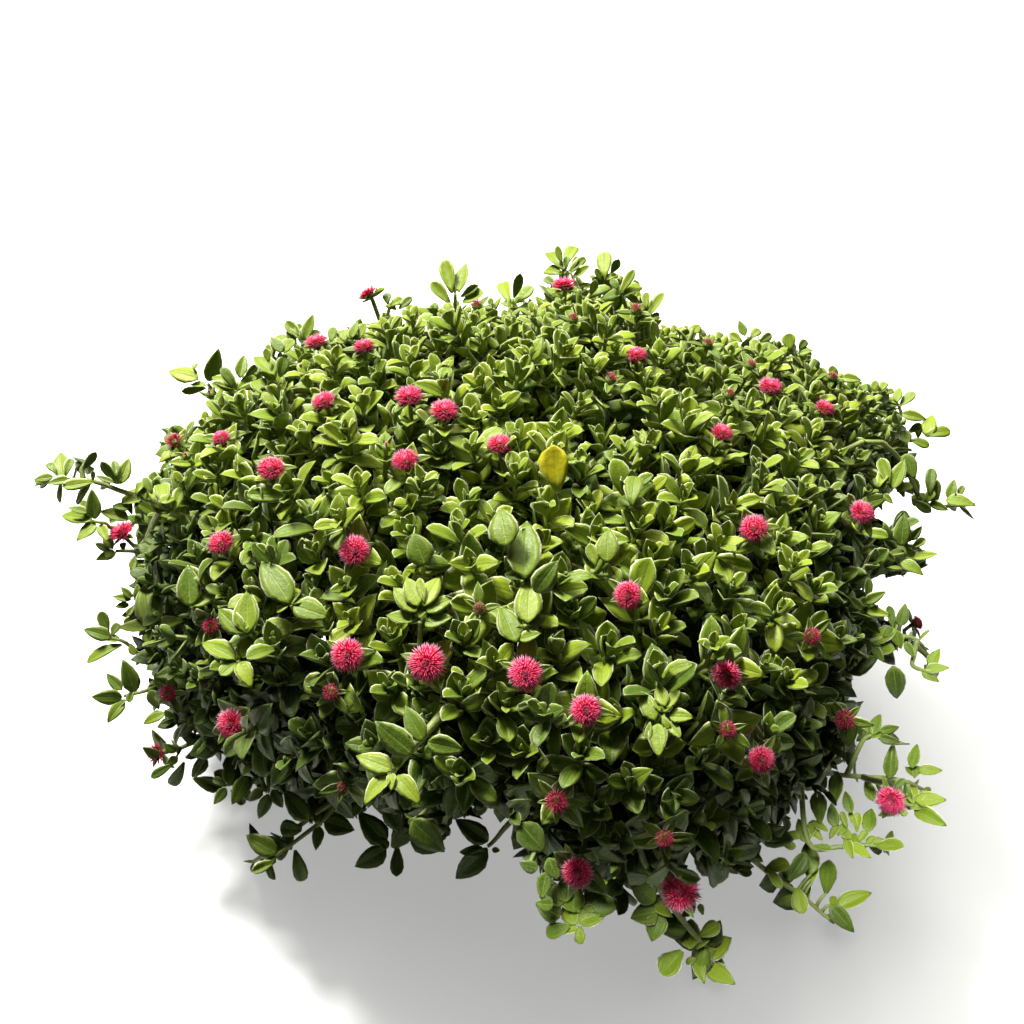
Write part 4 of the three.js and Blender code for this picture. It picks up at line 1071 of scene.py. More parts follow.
# flowers that are seen askew: the way they face in the image, x, y, and towards the camera
ASKEW = {(125, 531): (-0.55, -0.75, 0.75), (225, 542): (-0.45, -0.6, 0.95), (240, 725): (-0.55, 0.1, 1.0), (885, 799): (-0.35, 0.5, 1.0), (725, 676): (-0.35, 0.5, 1.0),
         (858, 512): (0.4, -0.5, 0.9), (749, 528): (-0.1, -0.45, 1.0), (822, 408): (0.4, -0.7, 0.6), (160, 752): (-0.6, 0.1, 0.8), (839, 718): (-0.2, 0.1, 1.0), (915, 621): (0.7, -0.3, 0.5),
         (628, 598): (-0.3, 0.0, 1.0), (369, 295): (-0.45, -0.75, 0.35), (681, 901): (-0.1, -0.15, 1.0)}
POLE = np.array([0, 0, 1.0])
sites = []           # tip, axis, kind, extra
flower_sites = []
for x, y, w, state, node in FLOWERS:
    p, hit = through(x, y, 1.0)
    if node:
        lo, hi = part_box(node)
        c = (np.array(lo) + np.array(hi)) / 2
        p = c
    n = mound_normal(unit(p - MOUND))
    top = float(np.clip((n[2] - 0.60) / 0.28, 0, 1)) if y < 540 else 0.0
    axis = unit(top * (n * 0.6 + np.array([rng.normal(0, 0.12), 0, 0.9])) + (1 - top) * (0.55 * n + 0.85 * unit(EYE - p) + (0, 0, 0.1)))
    if (x, y) in ASKEW:
        dx, dy, toward = ASKEW[(x, y)]
        axis = unit(RIGHT * dx - UP * dy + unit(EYE - p) * toward)
    p = p + axis * 0.003 if node else p + unit(p - MOUND) * 0.003
    dist = float((p - EYE) @ FWD)
    dia = w * dist / FOCAL_PX
    flower_sites.append((p, axis, dia, state, node, (x, y)))
    if state != 3:
        fx, fy, fd = project(p)
        SIGHT.append((fx, fy, w * 0.52, fd + 0.005))

# shoots that stand out of the outline: tip x, y and the way they point in the image, length in mm, leaf in mm, and the
# light painted into their leaves
STAND_OUT = [(690, 330, 6, -24, 24, 14, 0.8), (778, 345, 6, -24, 24, 14, 0.8)]

# Shoots set leaf by leaf, because each leaf of theirs shows: carrier ("" is the nearest branch), how far they stand off
# towards the front in mm, stem points x, y from the root end, and leaves as base x, y, tip x, y, width in px, the light
# painted into the leaf (a well lit one is also turned to the light) and 1 where the leaf is blunt. All in the 1024
# frame.
SPRAYS = [
    ("trailing_stem_01", 0, [(83, 479), (82, 470), (84, 464)], [(63, 478, 59, 450, 10, .8, 0), (57, 474, 47, 461, 9, .7, 1), (53, 477, 34, 480, 9, .7, 0),
        (70, 480, 48, 484, 6, .8, 0), (66, 476, 71, 458, 9, .7, 1), (82, 470, 96, 452, 9, .35, 1), (94, 482, 64, 488, 12, .85, 1), (93, 481, 93, 471, 5, .5, 1),
        (96, 476, 113, 483, 5, .6, 1), (116, 482, 101, 462, 10, .4, 1), (117, 478, 114, 460, 8, .6, 1), (120, 484, 129, 458, 11, .7, 0),
        (118, 484, 107, 474, 12, 1., 1), (119, 484, 119, 472, 9, 1., 1), (150, 500, 125, 487, 12, .9, 1), (152, 494, 144, 477, 9, .6, 1), (166, 504, 160, 482, 17, .85, 1),
        (146, 500, 138, 479, 10, .7, 1), (158, 508, 146, 488, 13, .85, 1), (141, 500, 121, 503, 10, .8, 0), (170, 512, 152, 507, 11, .8, 0), (174, 511, 182, 490, 12, .8, 1), (160, 502, 176, 497, 11, .8, 0),
        (136, 494, 143, 480, 8, .8, 1), (128, 520, 100, 510, 9, .9, 0), (130, 508, 112, 506, 8, .7, 0), (132, 514, 126, 498, 10, .8, 1), (140, 504, 134, 505, 8, .9, 1)]),
    ("", 0, [(118, 527), (104, 523), (92, 521)], [(92, 521, 61, 514, 12, .9, 0), (95, 519, 92, 489, 8, .5, 0), (89, 516, 83, 501, 9, .7, 1), (87, 513, 68, 507, 7, .7, 0),
        (96, 524, 77, 541, 13, .8, 0), (100, 525, 108, 542, 8, .8, 0), (110, 523, 119, 513, 7, .6, 0)]),
    ("trailing_stem_02", 0, [], [(930, 496, 931, 467, 9, .55, 1), (937, 502, 937, 480, 8, .5, 1), (950, 500, 954, 479, 10, .6, 0), (958, 498, 963, 486, 7, .6, 1),
        (946, 500, 975, 503, 11, .95, 0), (930, 503, 948, 510, 8, .7, 0), (918, 497, 913, 480, 11, .8, 1), (912, 500, 931, 512, 10, .5, 1), (905, 478, 914, 468, 10, .8, 1),
        (905, 454, 915, 479, 9, .5, 0), (925, 503, 934, 492, 10, .9, 1), (920, 505, 924, 494, 8, .9, 1), (938, 503, 928, 496, 8, .9, 1)]),
    ("", 0, [(896, 432), (908, 440), (922, 440)], [(928, 437, 931, 412, 13, .95, 0), (925, 436, 950, 428, 12, .85, 1), (902, 414, 926, 419, 7, .7, 0), (910, 440, 929, 444, 9, .8, 1),
        (908, 433, 921, 424, 8, .5, 1), (902, 428, 908, 444, 12, .6, 1), (918, 438, 920, 427, 8, .8, 1), (904, 440, 893, 450, 10, .6, 1)]),
    ("trailing_stem_03", 0, [(917, 640), (914, 655), (913, 666), (930, 672)], [(893, 666, 898, 701, 9, .25, 0), (925, 671, 949, 667, 10, .9, 0), (922, 672, 939, 681, 9, .7, 0),
        (930, 668, 939, 647, 5, .8, 0), (927, 671, 935, 664, 8, 1., 1), (897, 630, 865, 643, 9, .8, 0), (895, 650, 868, 646, 6, .8, 0), (893, 627, 889, 606, 8, .4, 1),
        (900, 626, 906, 604, 9, .4, 0), (896, 630, 901, 649, 12, .5, 0), (905, 642, 914, 657, 7, .5, 0), (884, 637, 893, 628, 9, .6, 1), (873, 647, 884, 662, 9, .5, 0)]),
    ("", 0, [(858, 618), (870, 612)], [(865, 603, 886, 592, 8, .7, 0), (867, 612, 890, 615, 8, .9, 0), (868, 616, 868, 601, 10, 1., 1), (868, 600, 869, 579, 8, .4, 1),
        (862, 610, 848, 596, 9, .6, 0), (868, 622, 880, 633, 9, .5, 0)]),
    ("trailing_stem_04", 0, [(888, 777), (891, 758), (893, 744)], [(912, 768, 917, 744, 9, .65, 0), (918, 771, 942, 770, 8, .8, 0), (914, 778, 920, 766, 9, 1., 1),
        (893, 744, 889, 777, 12, .3, 1), (916, 776, 905, 766, 7, .7, 0), (905, 779, 893, 788, 8, .5, 0)]),
    ("trailing_stem_04", 4, [(850, 768), (862, 742), (871, 735)], [(872, 735, 880, 713, 8, .6, 0), (880, 731, 899, 727, 8, .4, 0), (879, 737, 900, 742, 8, .3, 0), (871, 736, 866, 724, 7, .7, 0),
        (851, 768, 850, 749, 14, .2, 1), (872, 738, 882, 732, 7, 1., 1)]),
    ("trailing_stem_04", 2, [(894, 790), (905, 802), (914, 806)], [(913, 804, 913, 782, 8, .8, 0), (915, 800, 946, 800, 7, .9, 0), (915, 811, 946, 825, 8, .8, 0), (912, 807, 927, 793, 9, .9, 1),
        (910, 808, 921, 806, 7, 1., 1), (873, 801, 866, 779, 10, .6, 0), (898, 812, 878, 815, 7, .8, 0), (900, 808, 906, 815, 7, .9, 1)]),
    ("trailing_stem_04", 6, [(790, 812), (808, 842), (838, 847), (862, 845), (882, 846)], [(868, 832, 871, 806, 9, .7, 0), (851, 839, 836, 824, 9, .8, 0), (857, 832, 859, 814, 10, .9, 1),
        (850, 845, 871, 859, 10, .95, 0), (846, 840, 853, 858, 9, .9, 0), (858, 842, 868, 832, 9, .9, 1), (852, 842, 843, 834, 9, 1., 1), (861, 846, 850, 834, 9, 1., 1), (875, 846, 905, 848, 14, .7, 1),
        (888, 845, 892, 830, 7, .6, 0), (870, 846, 886, 841, 9, 1., 1), (814, 846, 832, 850, 8, .6, 1), (806, 842, 798, 818, 11, .6, 0), (809, 840, 816, 819, 11, .85, 1),
        (820, 823, 817, 791, 17, .35, 1), (834, 804, 838, 771, 15, .35, 1), (851, 813, 845, 791, 8, .6, 0), (838, 826, 829, 838, 8, .7, 0), (800, 838, 787, 832, 9, .7, 0),
        (835, 827, 831, 803, 9, .55, 0), (828, 831, 814, 823, 9, .7, 1), (822, 840, 806, 827, 12, .75, 1), (810, 838, 796, 827, 10, .7, 1), (847, 828, 842, 812, 8, .7, 1), (857, 828, 850, 813, 7, .8, 1),
        (838, 836, 846, 822, 8, .85, 1), (864, 848, 876, 838, 8, .8, 1), (790, 806, 776, 812, 12, .35, 0), (796, 846, 784, 846, 9, .7, 0)]),
    ("trailing_stem_05", 0, [], [(764, 872, 788, 860, 14, .75, 1), (788, 880, 806, 855, 17, .3, 1), (768, 868, 781, 887, 10, .8, 1), (797, 888, 802, 912, 17, .85, 1),
        (811, 874, 808, 840, 12, .6, 0), (826, 893, 829, 859, 18, .45, 1), (838, 908, 871, 892, 15, .95, 0), (830, 905, 854, 932, 12, .3, 0), (835, 915, 833, 895, 9, .9, 1),
        (812, 882, 817, 868, 8, 1., 1), (810, 880, 807, 868, 6, .9, 1), (838, 908, 845, 899, 7, 1., 1), (752, 862, 742, 850, 12, .4, 0), (745, 858, 762, 846, 13, .4, 0)]),
    ("trailing_stem_06", 0, [(660, 890), (668, 908)], [(650, 881, 653, 840, 26, .3, 0), (632, 883, 636, 853, 19, .35, 0), (658, 887, 686, 863, 14, .8, 0), (681, 884, 676, 866, 13, .9, 0),
        (690, 893, 696, 878, 9, .8, 0), (655, 902, 631, 883, 21, .45, 0), (658, 912, 631, 918, 24, .62, 0), (660, 914, 652, 941, 22, .55, 0), (655, 905, 673, 918, 9, .9, 0),
        (690, 949, 690, 916, 22, .85, 0), (700, 936, 720, 926, 17, .72, 1), (702, 957, 731, 938, 24, .85, 0), (682, 951, 662, 977, 24, .78, 1), (706, 966, 735, 984, 18, .85, 0),
        (696, 960, 704, 982, 10, .8, 0), (697, 949, 711, 936, 9, 1., 1), (699, 958, 716, 951, 9, .9, 1), (697, 958, 686, 963, 7, .9, 1), (703, 915, 700, 904, 7, .6, 1),
        (688, 948, 682, 940, 5, .9, 1), (692, 950, 691, 939, 5, 1., 1), (699, 946, 699, 936, 5, 1., 1)]),
    ("", 6, [(585, 880), (578, 912)], [(579, 922, 608, 909, 22, .7, 0), (577, 924, 562, 903, 19, .7, 0), (570, 926, 546, 934, 16, .5, 1), (580, 926, 580, 943, 12, .7, 1),
        (578, 928, 560, 934, 10, .9, 0), (574, 912, 570, 880, 24, .45, 0), (588, 912, 600, 889, 22, .6, 0), (592, 905, 619, 905, 22, .45, 0), (590, 884, 608, 882, 9, .9, 0),
        (560, 917, 536, 903, 22, .2, 0), (614, 880, 615, 863, 8, .8, 1), (625, 884, 624, 870, 8, .8, 0), (615, 892, 629, 893, 6, .9, 0), (574, 928, 568, 922, 7, 1., 1)]),
    ("trailing_stem_07", 4, [(343, 795), (325, 818), (300, 838), (276, 856)], [(308, 820, 284, 791, 19, .35, 0), (324, 821, 354, 830, 22, .3, 0), (319, 826, 316, 850, 9, .35, 0),
        (317, 824, 316, 805, 12, .5, 1), (312, 824, 308, 810, 6, 1., 1), (321, 826, 324, 813, 6, .9, 1), (302, 829, 280, 829, 18, .3, 1), (291, 850, 287, 827, 10, .4, 1),
        (289, 850, 262, 837, 15, .3, 0), (277, 853, 245, 835, 15, .5, 0), (295, 850, 303, 882, 15, .4, 1), (277, 856, 264, 866, 10, .5, 1), (276, 861, 252, 873, 10, .7, 1)]),
    ("trailing_stem_08", 2, [], [(488, 841, 456, 820, 21, .22, 0), (487, 848, 456, 879, 21, .22, 0), (484, 850, 460, 853, 13, .22, 0), (492, 849, 500, 851, 6, .25, 0)]),
    ("", 2, [(398, 812), (392, 846)], [(397, 846, 396, 875, 14, .22, 1), (386, 849, 355, 868, 21, .22, 0), (385, 843, 359, 813, 24, .22, 0), (393, 848, 407, 824, 20, .22, 1),
        (388, 848, 378, 838, 10, .25, 0)]),
    ("", 2, [(430, 800), (414, 822)], [(412, 820, 444, 852, 28, .22, 0), (408, 822, 428, 822, 16, .25, 1), (455, 780, 448, 817, 18, .22, 0)]),
    ("", 0, [(148, 660), (126, 643), (112, 638)], [(108, 634, 101, 612, 12, .6, 1), (111, 638, 84, 628, 11, .6, 0), (122, 645, 85, 658, 9, .85, 1), (112, 636, 118, 622, 9, .7, 1),
        (120, 640, 106, 640, 8, .9, 0), (130, 644, 134, 654, 8, .9, 1)]),
    ("", 2, [(165, 684), (145, 691), (124, 696)], [(135, 692, 123, 660, 6, .3, 0), (122, 690, 107, 674, 9, .6, 0), (122, 697, 92, 697, 12, .3, 0), (124, 701, 107, 721, 7, .7, 0),
        (133, 690, 128, 701, 8, .8, 1), (126, 700, 117, 706, 8, .6, 1), (150, 690, 159, 709, 13, .3, 0), (165, 714, 142, 722, 9, .8, 0)]),
    ("", 4, [(170, 650), (152, 632)], [(152, 626, 145, 585, 23, .85, 0), (150, 628, 119, 629, 12, .9, 0), (154, 628, 184, 618, 11, .9, 0), (150, 630, 146, 641, 10, .9, 1), (154, 626, 160, 610, 12, .7, 0)]),
    ("", 0, [(150, 552), (132, 551), (116, 551)], [(116, 553, 96, 560, 11, .9, 0), (109, 551, 95, 543, 8, .7, 0), (113, 549, 103, 534, 9, .8, 0), (135, 556, 132, 570, 9, .6, 1), (112, 552, 106, 558, 7, 1., 1),
        (124, 551, 122, 541, 7, .8, 1)]),
    ("", 0, [(150, 604), (138, 601)], [(131, 600, 113, 597, 8, .7, 0), (129, 605, 115, 606, 7, .6, 0), (131, 598, 121, 587, 8, .5, 0), (138, 600, 137, 584, 9, .5, 0), (134, 606, 128, 616, 7, .6, 1), (141, 612, 121, 615, 10, .6, 0), (138, 616, 124, 624, 9, .6, 1)]),
    ("", 0, [(872, 556), (890, 556), (904, 554)], [(901, 546, 904, 514, 12, .4, 0), (910, 540, 922, 526, 8, .4, 0), (912, 548, 926, 540, 9, .8, 1), (915, 560, 897, 546, 11, .9, 0), (914, 558, 938, 555, 9, .9, 0),
        (901, 562, 923, 573, 10, .8, 0), (907, 549, 905, 541, 5, .9, 1), (861, 533, 887, 535, 11, .95, 1), (884, 522, 890, 540, 9, .5, 1), (861, 553, 878, 546, 10, .6, 0), (882, 553, 896, 561, 9, .7, 0),
        (893, 556, 884, 568, 9, .4, 0)]),
    # the left of the underside, where leaves hang in the shade and are given painted shade
    ("", 2, [(210, 735), (186, 758)], [(173, 764, 151, 777, 9, .35, 1), (184, 762, 171, 787, 13, .25, 1), (158, 757, 142, 747, 9, .3, 0), (178, 757, 166, 765, 9, .35, 0), (176, 752, 164, 744, 9, .4, 0)]),
    ("", 2, [(230, 740), (206, 757), (195, 778)], [(206, 757, 192, 779, 11, .2, 0), (222, 787, 193, 779, 13, .2, 0), (214, 772, 232, 778, 12, .2, 0)]),
    ("", 2, [(245, 750), (228, 786)], [(226, 788, 214, 804, 9, .35, 0), (229, 784, 228, 761, 14, .45, 0), (227, 786, 213, 779, 9, .35, 1), (247, 776, 232, 804, 14, .3, 0), (240, 786, 252, 802, 11, .3, 0), (231, 790, 245, 804, 10, .2, 1)]),
    ("", 2, [(275, 758), (268, 792)], [(268, 794, 259, 819, 13, .2, 0), (265, 777, 260, 738, 17, .4, 0), (272, 790, 283, 808, 12, .2, 0), (262, 788, 249, 802, 11, .2, 0), (275, 780, 292, 776, 12, .3, 0)]),
    ("", 2, [(545, 830), (530, 862)], [(520, 823, 545, 853, 27, .2, 0), (538, 868, 519, 864, 13, .25, 0), (546, 872, 541, 899, 16, .25, 0), (548, 858, 558, 879, 17, .2, 0), (553, 905, 536, 903, 16, .25, 0)]),
    ("", 2, [(562, 868), (558, 898)], [(560, 906, 550, 880, 19, .2, 0), (566, 902, 562, 878, 16, .25, 0), (556, 884, 560, 909, 18, .2, 0)]),
    ("", 2, [(420, 800), (412, 830)], [(410, 835, 444, 848, 25, .2, 0), (388, 803, 400, 832, 22, .22, 0)]),
    # along the top of the outline
    ("", 0, [(458, 318), (455, 294)], [(452, 293, 446, 264, 10, .8, 1), (459, 292, 467, 265, 10, .8, 0), (455, 293, 456, 271, 11, .95, 1), (450, 304, 432, 285, 10, .8, 1),
        (463, 303, 485, 295, 14, .9, 1), (461, 297, 478, 286, 8, .5, 1), (455, 292, 451, 280, 6, 1., 1)]),
    ("", 0, [(516, 326), (515, 302)], [(510, 303, 501, 280, 13, .9, 1), (514, 298, 520, 273, 10, .45, 1), (517, 303, 533, 288, 13, .85, 1), (514, 305, 500, 303, 8, .8, 0), (519, 308, 533, 306, 8, .8, 1)]),
    ("", 0, [(566, 292), (565, 272)], [(563, 270, 547, 247, 10, .8, 1), (566, 266, 573, 242, 14, .95, 1), (562, 263, 558, 247, 7, .7, 1), (562, 274, 543, 267, 13, .85, 1),
        (568, 275, 584, 256, 8, .7, 1), (566, 270, 567, 256, 7, .6, 1), (572, 270, 577, 256, 6, .7, 1), (572, 279, 590, 268, 7, .8, 1), (580, 303, 601, 289, 11, .95, 0), (556, 286, 544, 277, 9, .6, 1),
        (577, 290, 594, 283, 8, .85, 0)]),
    ("", 0, [(606, 296), (605, 276)], [(605, 277, 605, 254, 17, .95, 1), (611, 273, 619, 259, 9, .4, 1), (601, 280, 596, 269, 7, .6, 1), (606, 280, 616, 275, 7, .8, 1)]),
    ("", 0, [(626, 308), (622, 294)], [(620, 294, 635, 271, 9, .7, 1), (624, 296, 640, 284, 13, .95, 1), (618, 290, 612, 279, 8, .6, 1)]),
    ("", 0, [(648, 326), (648, 312)], [(646, 308, 647, 294, 9, .8, 1), (649, 316, 665, 296, 11, .9, 1), (649, 321, 659, 313, 6, .7, 1)]),
    ("", 0, [(220, 402), (208, 384)], [(208, 381, 219, 349, 15, .4, 0), (198, 379, 169, 371, 16, .95, 0), (206, 388, 182, 391, 7, .3, 1), (206, 386, 190, 384, 7, .9, 0), (194, 370, 196, 363, 6, .8, 1)]),
    ("", 0, [(238, 412), (236, 390)], [(235, 388, 222, 367, 11, .5, 1), (240, 378, 244, 355, 9, .7, 0), (235, 389, 212, 376, 10, .9, 0), (238, 389, 255, 376, 10, .9, 1), (234, 393, 212, 386, 5, 1., 1),
        (245, 377, 257, 365, 8, .4, 1), (236, 388, 228, 374, 9, .9, 1)]),
    ("", 0, [(276, 404), (268, 388)], [(264, 395, 256, 378, 18, .95, 1), (275, 375, 254, 356, 10, .9, 0), (280, 377, 284, 357, 14, .4, 1), (282, 352, 271, 337, 9, .7, 0), (284, 353, 293, 341, 14, .9, 1), (269, 362, 266, 349, 8, .7, 1)]),
    ("", 0, [(305, 354), (303, 340)], [(302, 340, 287, 324, 12, .8, 1), (296, 344, 289, 330, 10, .7, 1), (306, 339, 314, 315, 7, .7, 0), (303, 339, 299, 325, 9, .8, 1), (311, 338, 319, 330, 9, .9, 1),
        (290, 348, 276, 333, 12, .85, 1), (300, 340, 306, 327, 8, .6, 1)]),
    ("", 0, [(352, 352), (350, 340)], [(346, 342, 340, 328, 12, .8, 1), (352, 338, 357, 321, 9, .7, 0), (360, 338, 366, 325, 10, .85, 1), (350, 339, 348, 328, 8, .9, 1), (331, 342, 334, 328, 10, .8, 1)]),
    ("", 0, [(872, 470), (888, 484)], [(893, 489, 905, 461, 13, .8, 0), (889, 484, 881, 461, 12, .75, 1), (897, 492, 912, 483, 10, .8, 1), (887, 490, 873, 478, 11, .6, 1), (884, 494, 893, 504, 6, .6, 0),
        (904, 497, 896, 477, 11, .85, 1), (879, 487, 886, 469, 12, .9, 1)]),
    ("", 0, [(386, 322), (390, 306)], [(391, 306, 402, 297, 10, .8, 1), (399, 309, 412, 298, 9, .6, 1), (388, 304, 386, 292, 9, .6, 1), (396, 310, 386, 302, 9, .9, 1)]),
    ("", 0, [(750, 352), (748, 338)], [(745, 336, 739, 321, 8, .7, 0), (751, 338, 759, 328, 11, .8, 1), (760, 342, 771, 334, 9, .5, 1), (742, 342, 730, 335, 9, .8, 1)]),
    ("", 0, [(795, 362), (792, 350)], [(790, 350, 790, 334, 15, .7, 1), (799, 349, 806, 340, 9, .5, 1), (799, 353, 812, 350, 9, .9, 0)]),
    ("", 0, [(840, 388), (838, 378)], [(842, 378, 861, 380, 10, .8, 0), (832, 377, 833, 366, 9, .7, 1), (828, 378, 818, 369, 9, .8, 1)]),
    ("", 0, [(882, 402), (880, 392)], [(874, 391, 876, 381, 8, .8, 1), (881, 391, 885, 381, 9, .8, 1), (886, 394, 893, 389, 7, .7, 1)]),
    ("", 0, [(898, 420), (899, 405)], [(897, 402, 899, 386, 8, .8, 0), (900, 406, 915, 394, 11, .85, 1), (898, 404, 887, 396, 8, .8, 1)]),
    # the shoots on the left of the front, their leaves painted in bright light
    ("", 8, [(262, 640), (250, 634)], [(247, 633, 249, 592, 27, .8, 0), (243, 633, 217, 608, 22, .65, 0), (262, 632, 296, 628, 24, .75, 0), (247, 630, 245, 608, 14, .9, 0), (256, 640, 268, 652, 14, .6, 0)]),
    ("", 6, [(300, 618), (291, 605)], [(289, 603, 261, 558, 27, .65, 0), (294, 606, 328, 617, 26, .7, 0), (292, 604, 296, 585, 12, .9, 1), (288, 606, 276, 610, 10, .9, 1)]),
    ("", 12, [(250, 676), (238, 661)], [(235, 659, 202, 642, 21, .85, 0), (243, 658, 260, 630, 20, .85, 0), (240, 662, 250, 685, 18, .9, 0), (236, 663, 221, 676, 14, .9, 1), (236, 660, 226, 650, 11, 1., 0),
        (239, 658, 240, 646, 9, 1., 1)]),
    ("", 4, [(200, 625), (192, 606)], [(190, 606, 188, 566, 25, .6, 0), (194, 606, 219, 590, 14, .7, 0)]),
    # the rosette and single large leaves in the middle of the front
    ("", 6, [(524, 600), (522, 580)], [(525, 578, 526, 520, 35, .74, 0), (507, 546, 499, 507, 32, .70, 0)]),
    ("", 4, [(608, 575), (607, 563)], [(607, 562, 608, 528, 25, .72, 0), (596, 566, 590, 545, 12, .7, 1)]),
    ("", 6, [(526, 640), (526, 625)], [(528, 623, 530, 580, 28, .8, 0), (516, 642, 501, 606, 26, .75, 0), (535, 592, 557, 562, 24, .5, 0), (520, 640, 541, 634, 12, .8, 0)]),
    ("", 3, [(426, 575), (425, 565)], [(425, 565, 413, 533, 28, .4, 0)]),
    ("", 5, [(420, 640), (420, 622)], [(412, 622, 386, 614, 13, .8, 0), (425, 625, 452, 617, 14, .8, 0), (416, 612, 394, 588, 15, .8, 0), (427, 612, 453, 596, 16, .8, 0), (420, 618, 425, 590, 12, .95, 0),
        (418, 606, 407, 578, 12, .9, 0), (424, 606, 438, 574, 13, .9, 0), (424, 602, 420, 580, 8, 1., 1)]),
    ("", 5, [(668, 735), (663, 716)], [(658, 724, 659, 757, 14, 1., 0), (665, 706, 657, 683, 13, .95, 0), (667, 708, 679, 688, 12, .95, 0), (670, 717, 693, 717, 14, .9, 0), (655, 720, 641, 690, 9, .8, 0),
        (668, 722, 681, 738, 13, .9, 0), (650, 722, 648, 740, 8, .7, 1), (664, 712, 672, 702, 9, 1., 1), (663, 716, 668, 727, 8, 1., 1), (661, 712, 655, 700, 8, 1., 1)]),
    ("", 4, [(630, 515), (632, 506)], [(632, 505, 634, 472, 21, .7, 1)]),
    # the shoot on the thick stem lower down
    ("", 12, [], [(423, 741, 405, 706, 20, .45, 0), (428, 742, 463, 750, 22, .5, 0), (413, 754, 376, 722, 20, .45, 0), (392, 770, 357, 756, 19, .85, 0), (397, 776, 419, 802, 20, .8, 0),
        (390, 777, 364, 804, 17, .95, 0), (397, 770, 398, 748, 11, .8, 0), (392, 773, 391, 790, 9, 1., 0)]),
]

# large shoots on the face of the mound, their leaves painted in bright light
HERO = [(340, 585, 19, 0.8), (600, 530, 19, 0.9), (470, 560, 19, 0.85), (345, 620, 19, 0.8), (560, 425, 18, 1.0)]

for x, y, L, painted_light in HERO:
    p, hit = through(x, y, 1.0)
    n = mound_normal(unit(p - MOUND))
    toward = unit(EYE - p)
    sites.append((p - n * 0.004, unit(n + 0.55 * toward + (0, 0, 0.2)), "hero", (L / 1000, painted_light)))

# Poisson-like spread of the other shoots over the mound
count = 15000
i = np.arange(count) + 0.5
zz = 1 - 2 * i / count
ph = i * 2.399963
D = np.c_[np.sqrt(1 - zz ** 2) * np.cos(ph), np.sqrt(1 - zz ** 2) * np.sin(ph), zz]
D = unit(D + rng.normal(0, 0.006, D.shape))
PT = MOUND + D * mound_radius(D)[:, None]
order = rng.permutation(count)
taken = np.array([s[0] for s in sites] + [f[0] for f in flower_sites])
radius_taken = [0.016] * len(sites) + [0.012] * len(flower_sites)
T_list, R_list = list(taken), list(radius_taken)
chosen = []
HOLLOW = through(549, 398)[0]          # a dark gap between the shoots near the top
TA = np.array(T_list); RA = np.array(R_list)
for idx in order:
    p = PT[idx]
    if p[2] < 0.020:
        continue
    r = math.hypot(p[0], p[1])
    if p[2] < 0.135 and r < float(pot_outer(min(p[2], 0.124))) + 0.014:
        continue
    if D[idx][2] < -0.80:
        continue
    f = front(p)
    s = 0.0138 + (0.0180 - 0.0138) * f
    if p[1] > 0.06 and p[2] < 0.2:
        s = 0.0185
    if np.linalg.norm(p - HOLLOW) < 0.021:
        continue
    dist = np.linalg.norm(TA - p, axis=1)
    if (dist < np.minimum(RA, s) * 0.5 + s * 0.5).any():
        continue
    TA = np.vstack([TA, p]); RA = np.append(RA, s)
    chosen.append(idx)
print("shoots:", len(chosen), "hero:", len(sites), "flowers:", len(flower_sites))


def nearest_branch(p):
    return int(np.argmax(branch_dirs @ unit(p - MOUND)))


def start_point(k, p):
    """Where a shoot leaves its limb."""
    t = rng.uniform(0.55, 1.0)
    a = bezier(limbs[k], t)[0]
    return a


def painted_light_at(p, n):
    """How much light to paint into the leaves at a place on the mound: painted light high up where the mound faces up,
    painted shade low down and where it faces down.
    """
    up = 0.5 + 0.5 * n[2]
    high = np.clip((p[2] - 0.03) / 0.24, 0, 1)
    return float(np.clip(0.06 + 0.68 * high * up + 0.32 * max(0.0, n[2]) ** 2, 0, 1))


UPRIGHT = [(0.0, 0.30, 10), (0.0016, 0.56, 20), (0.0046, 0.82, 31), (0.0092, 1.0, 41), (0.0150, 1.0, 49), (0.0222, 1.0, 55),
           (0.0306, 0.98, 60), (0.0400, 0.95, 64), (0.0510, 0.9, 68), (0.0640, 0.9, 72)]
SPREAD = [(0.0, 0.30, 12), (0.0016, 0.54, 28), (0.0052, 0.80, 44), (0.0108, 0.98, 56), (0.0190, 1.0, 64), (0.0290, 1.0, 70),
          (0.0410, 0.97, 74), (0.0540, 0.9, 76), (0.0690, 0.9, 78)]

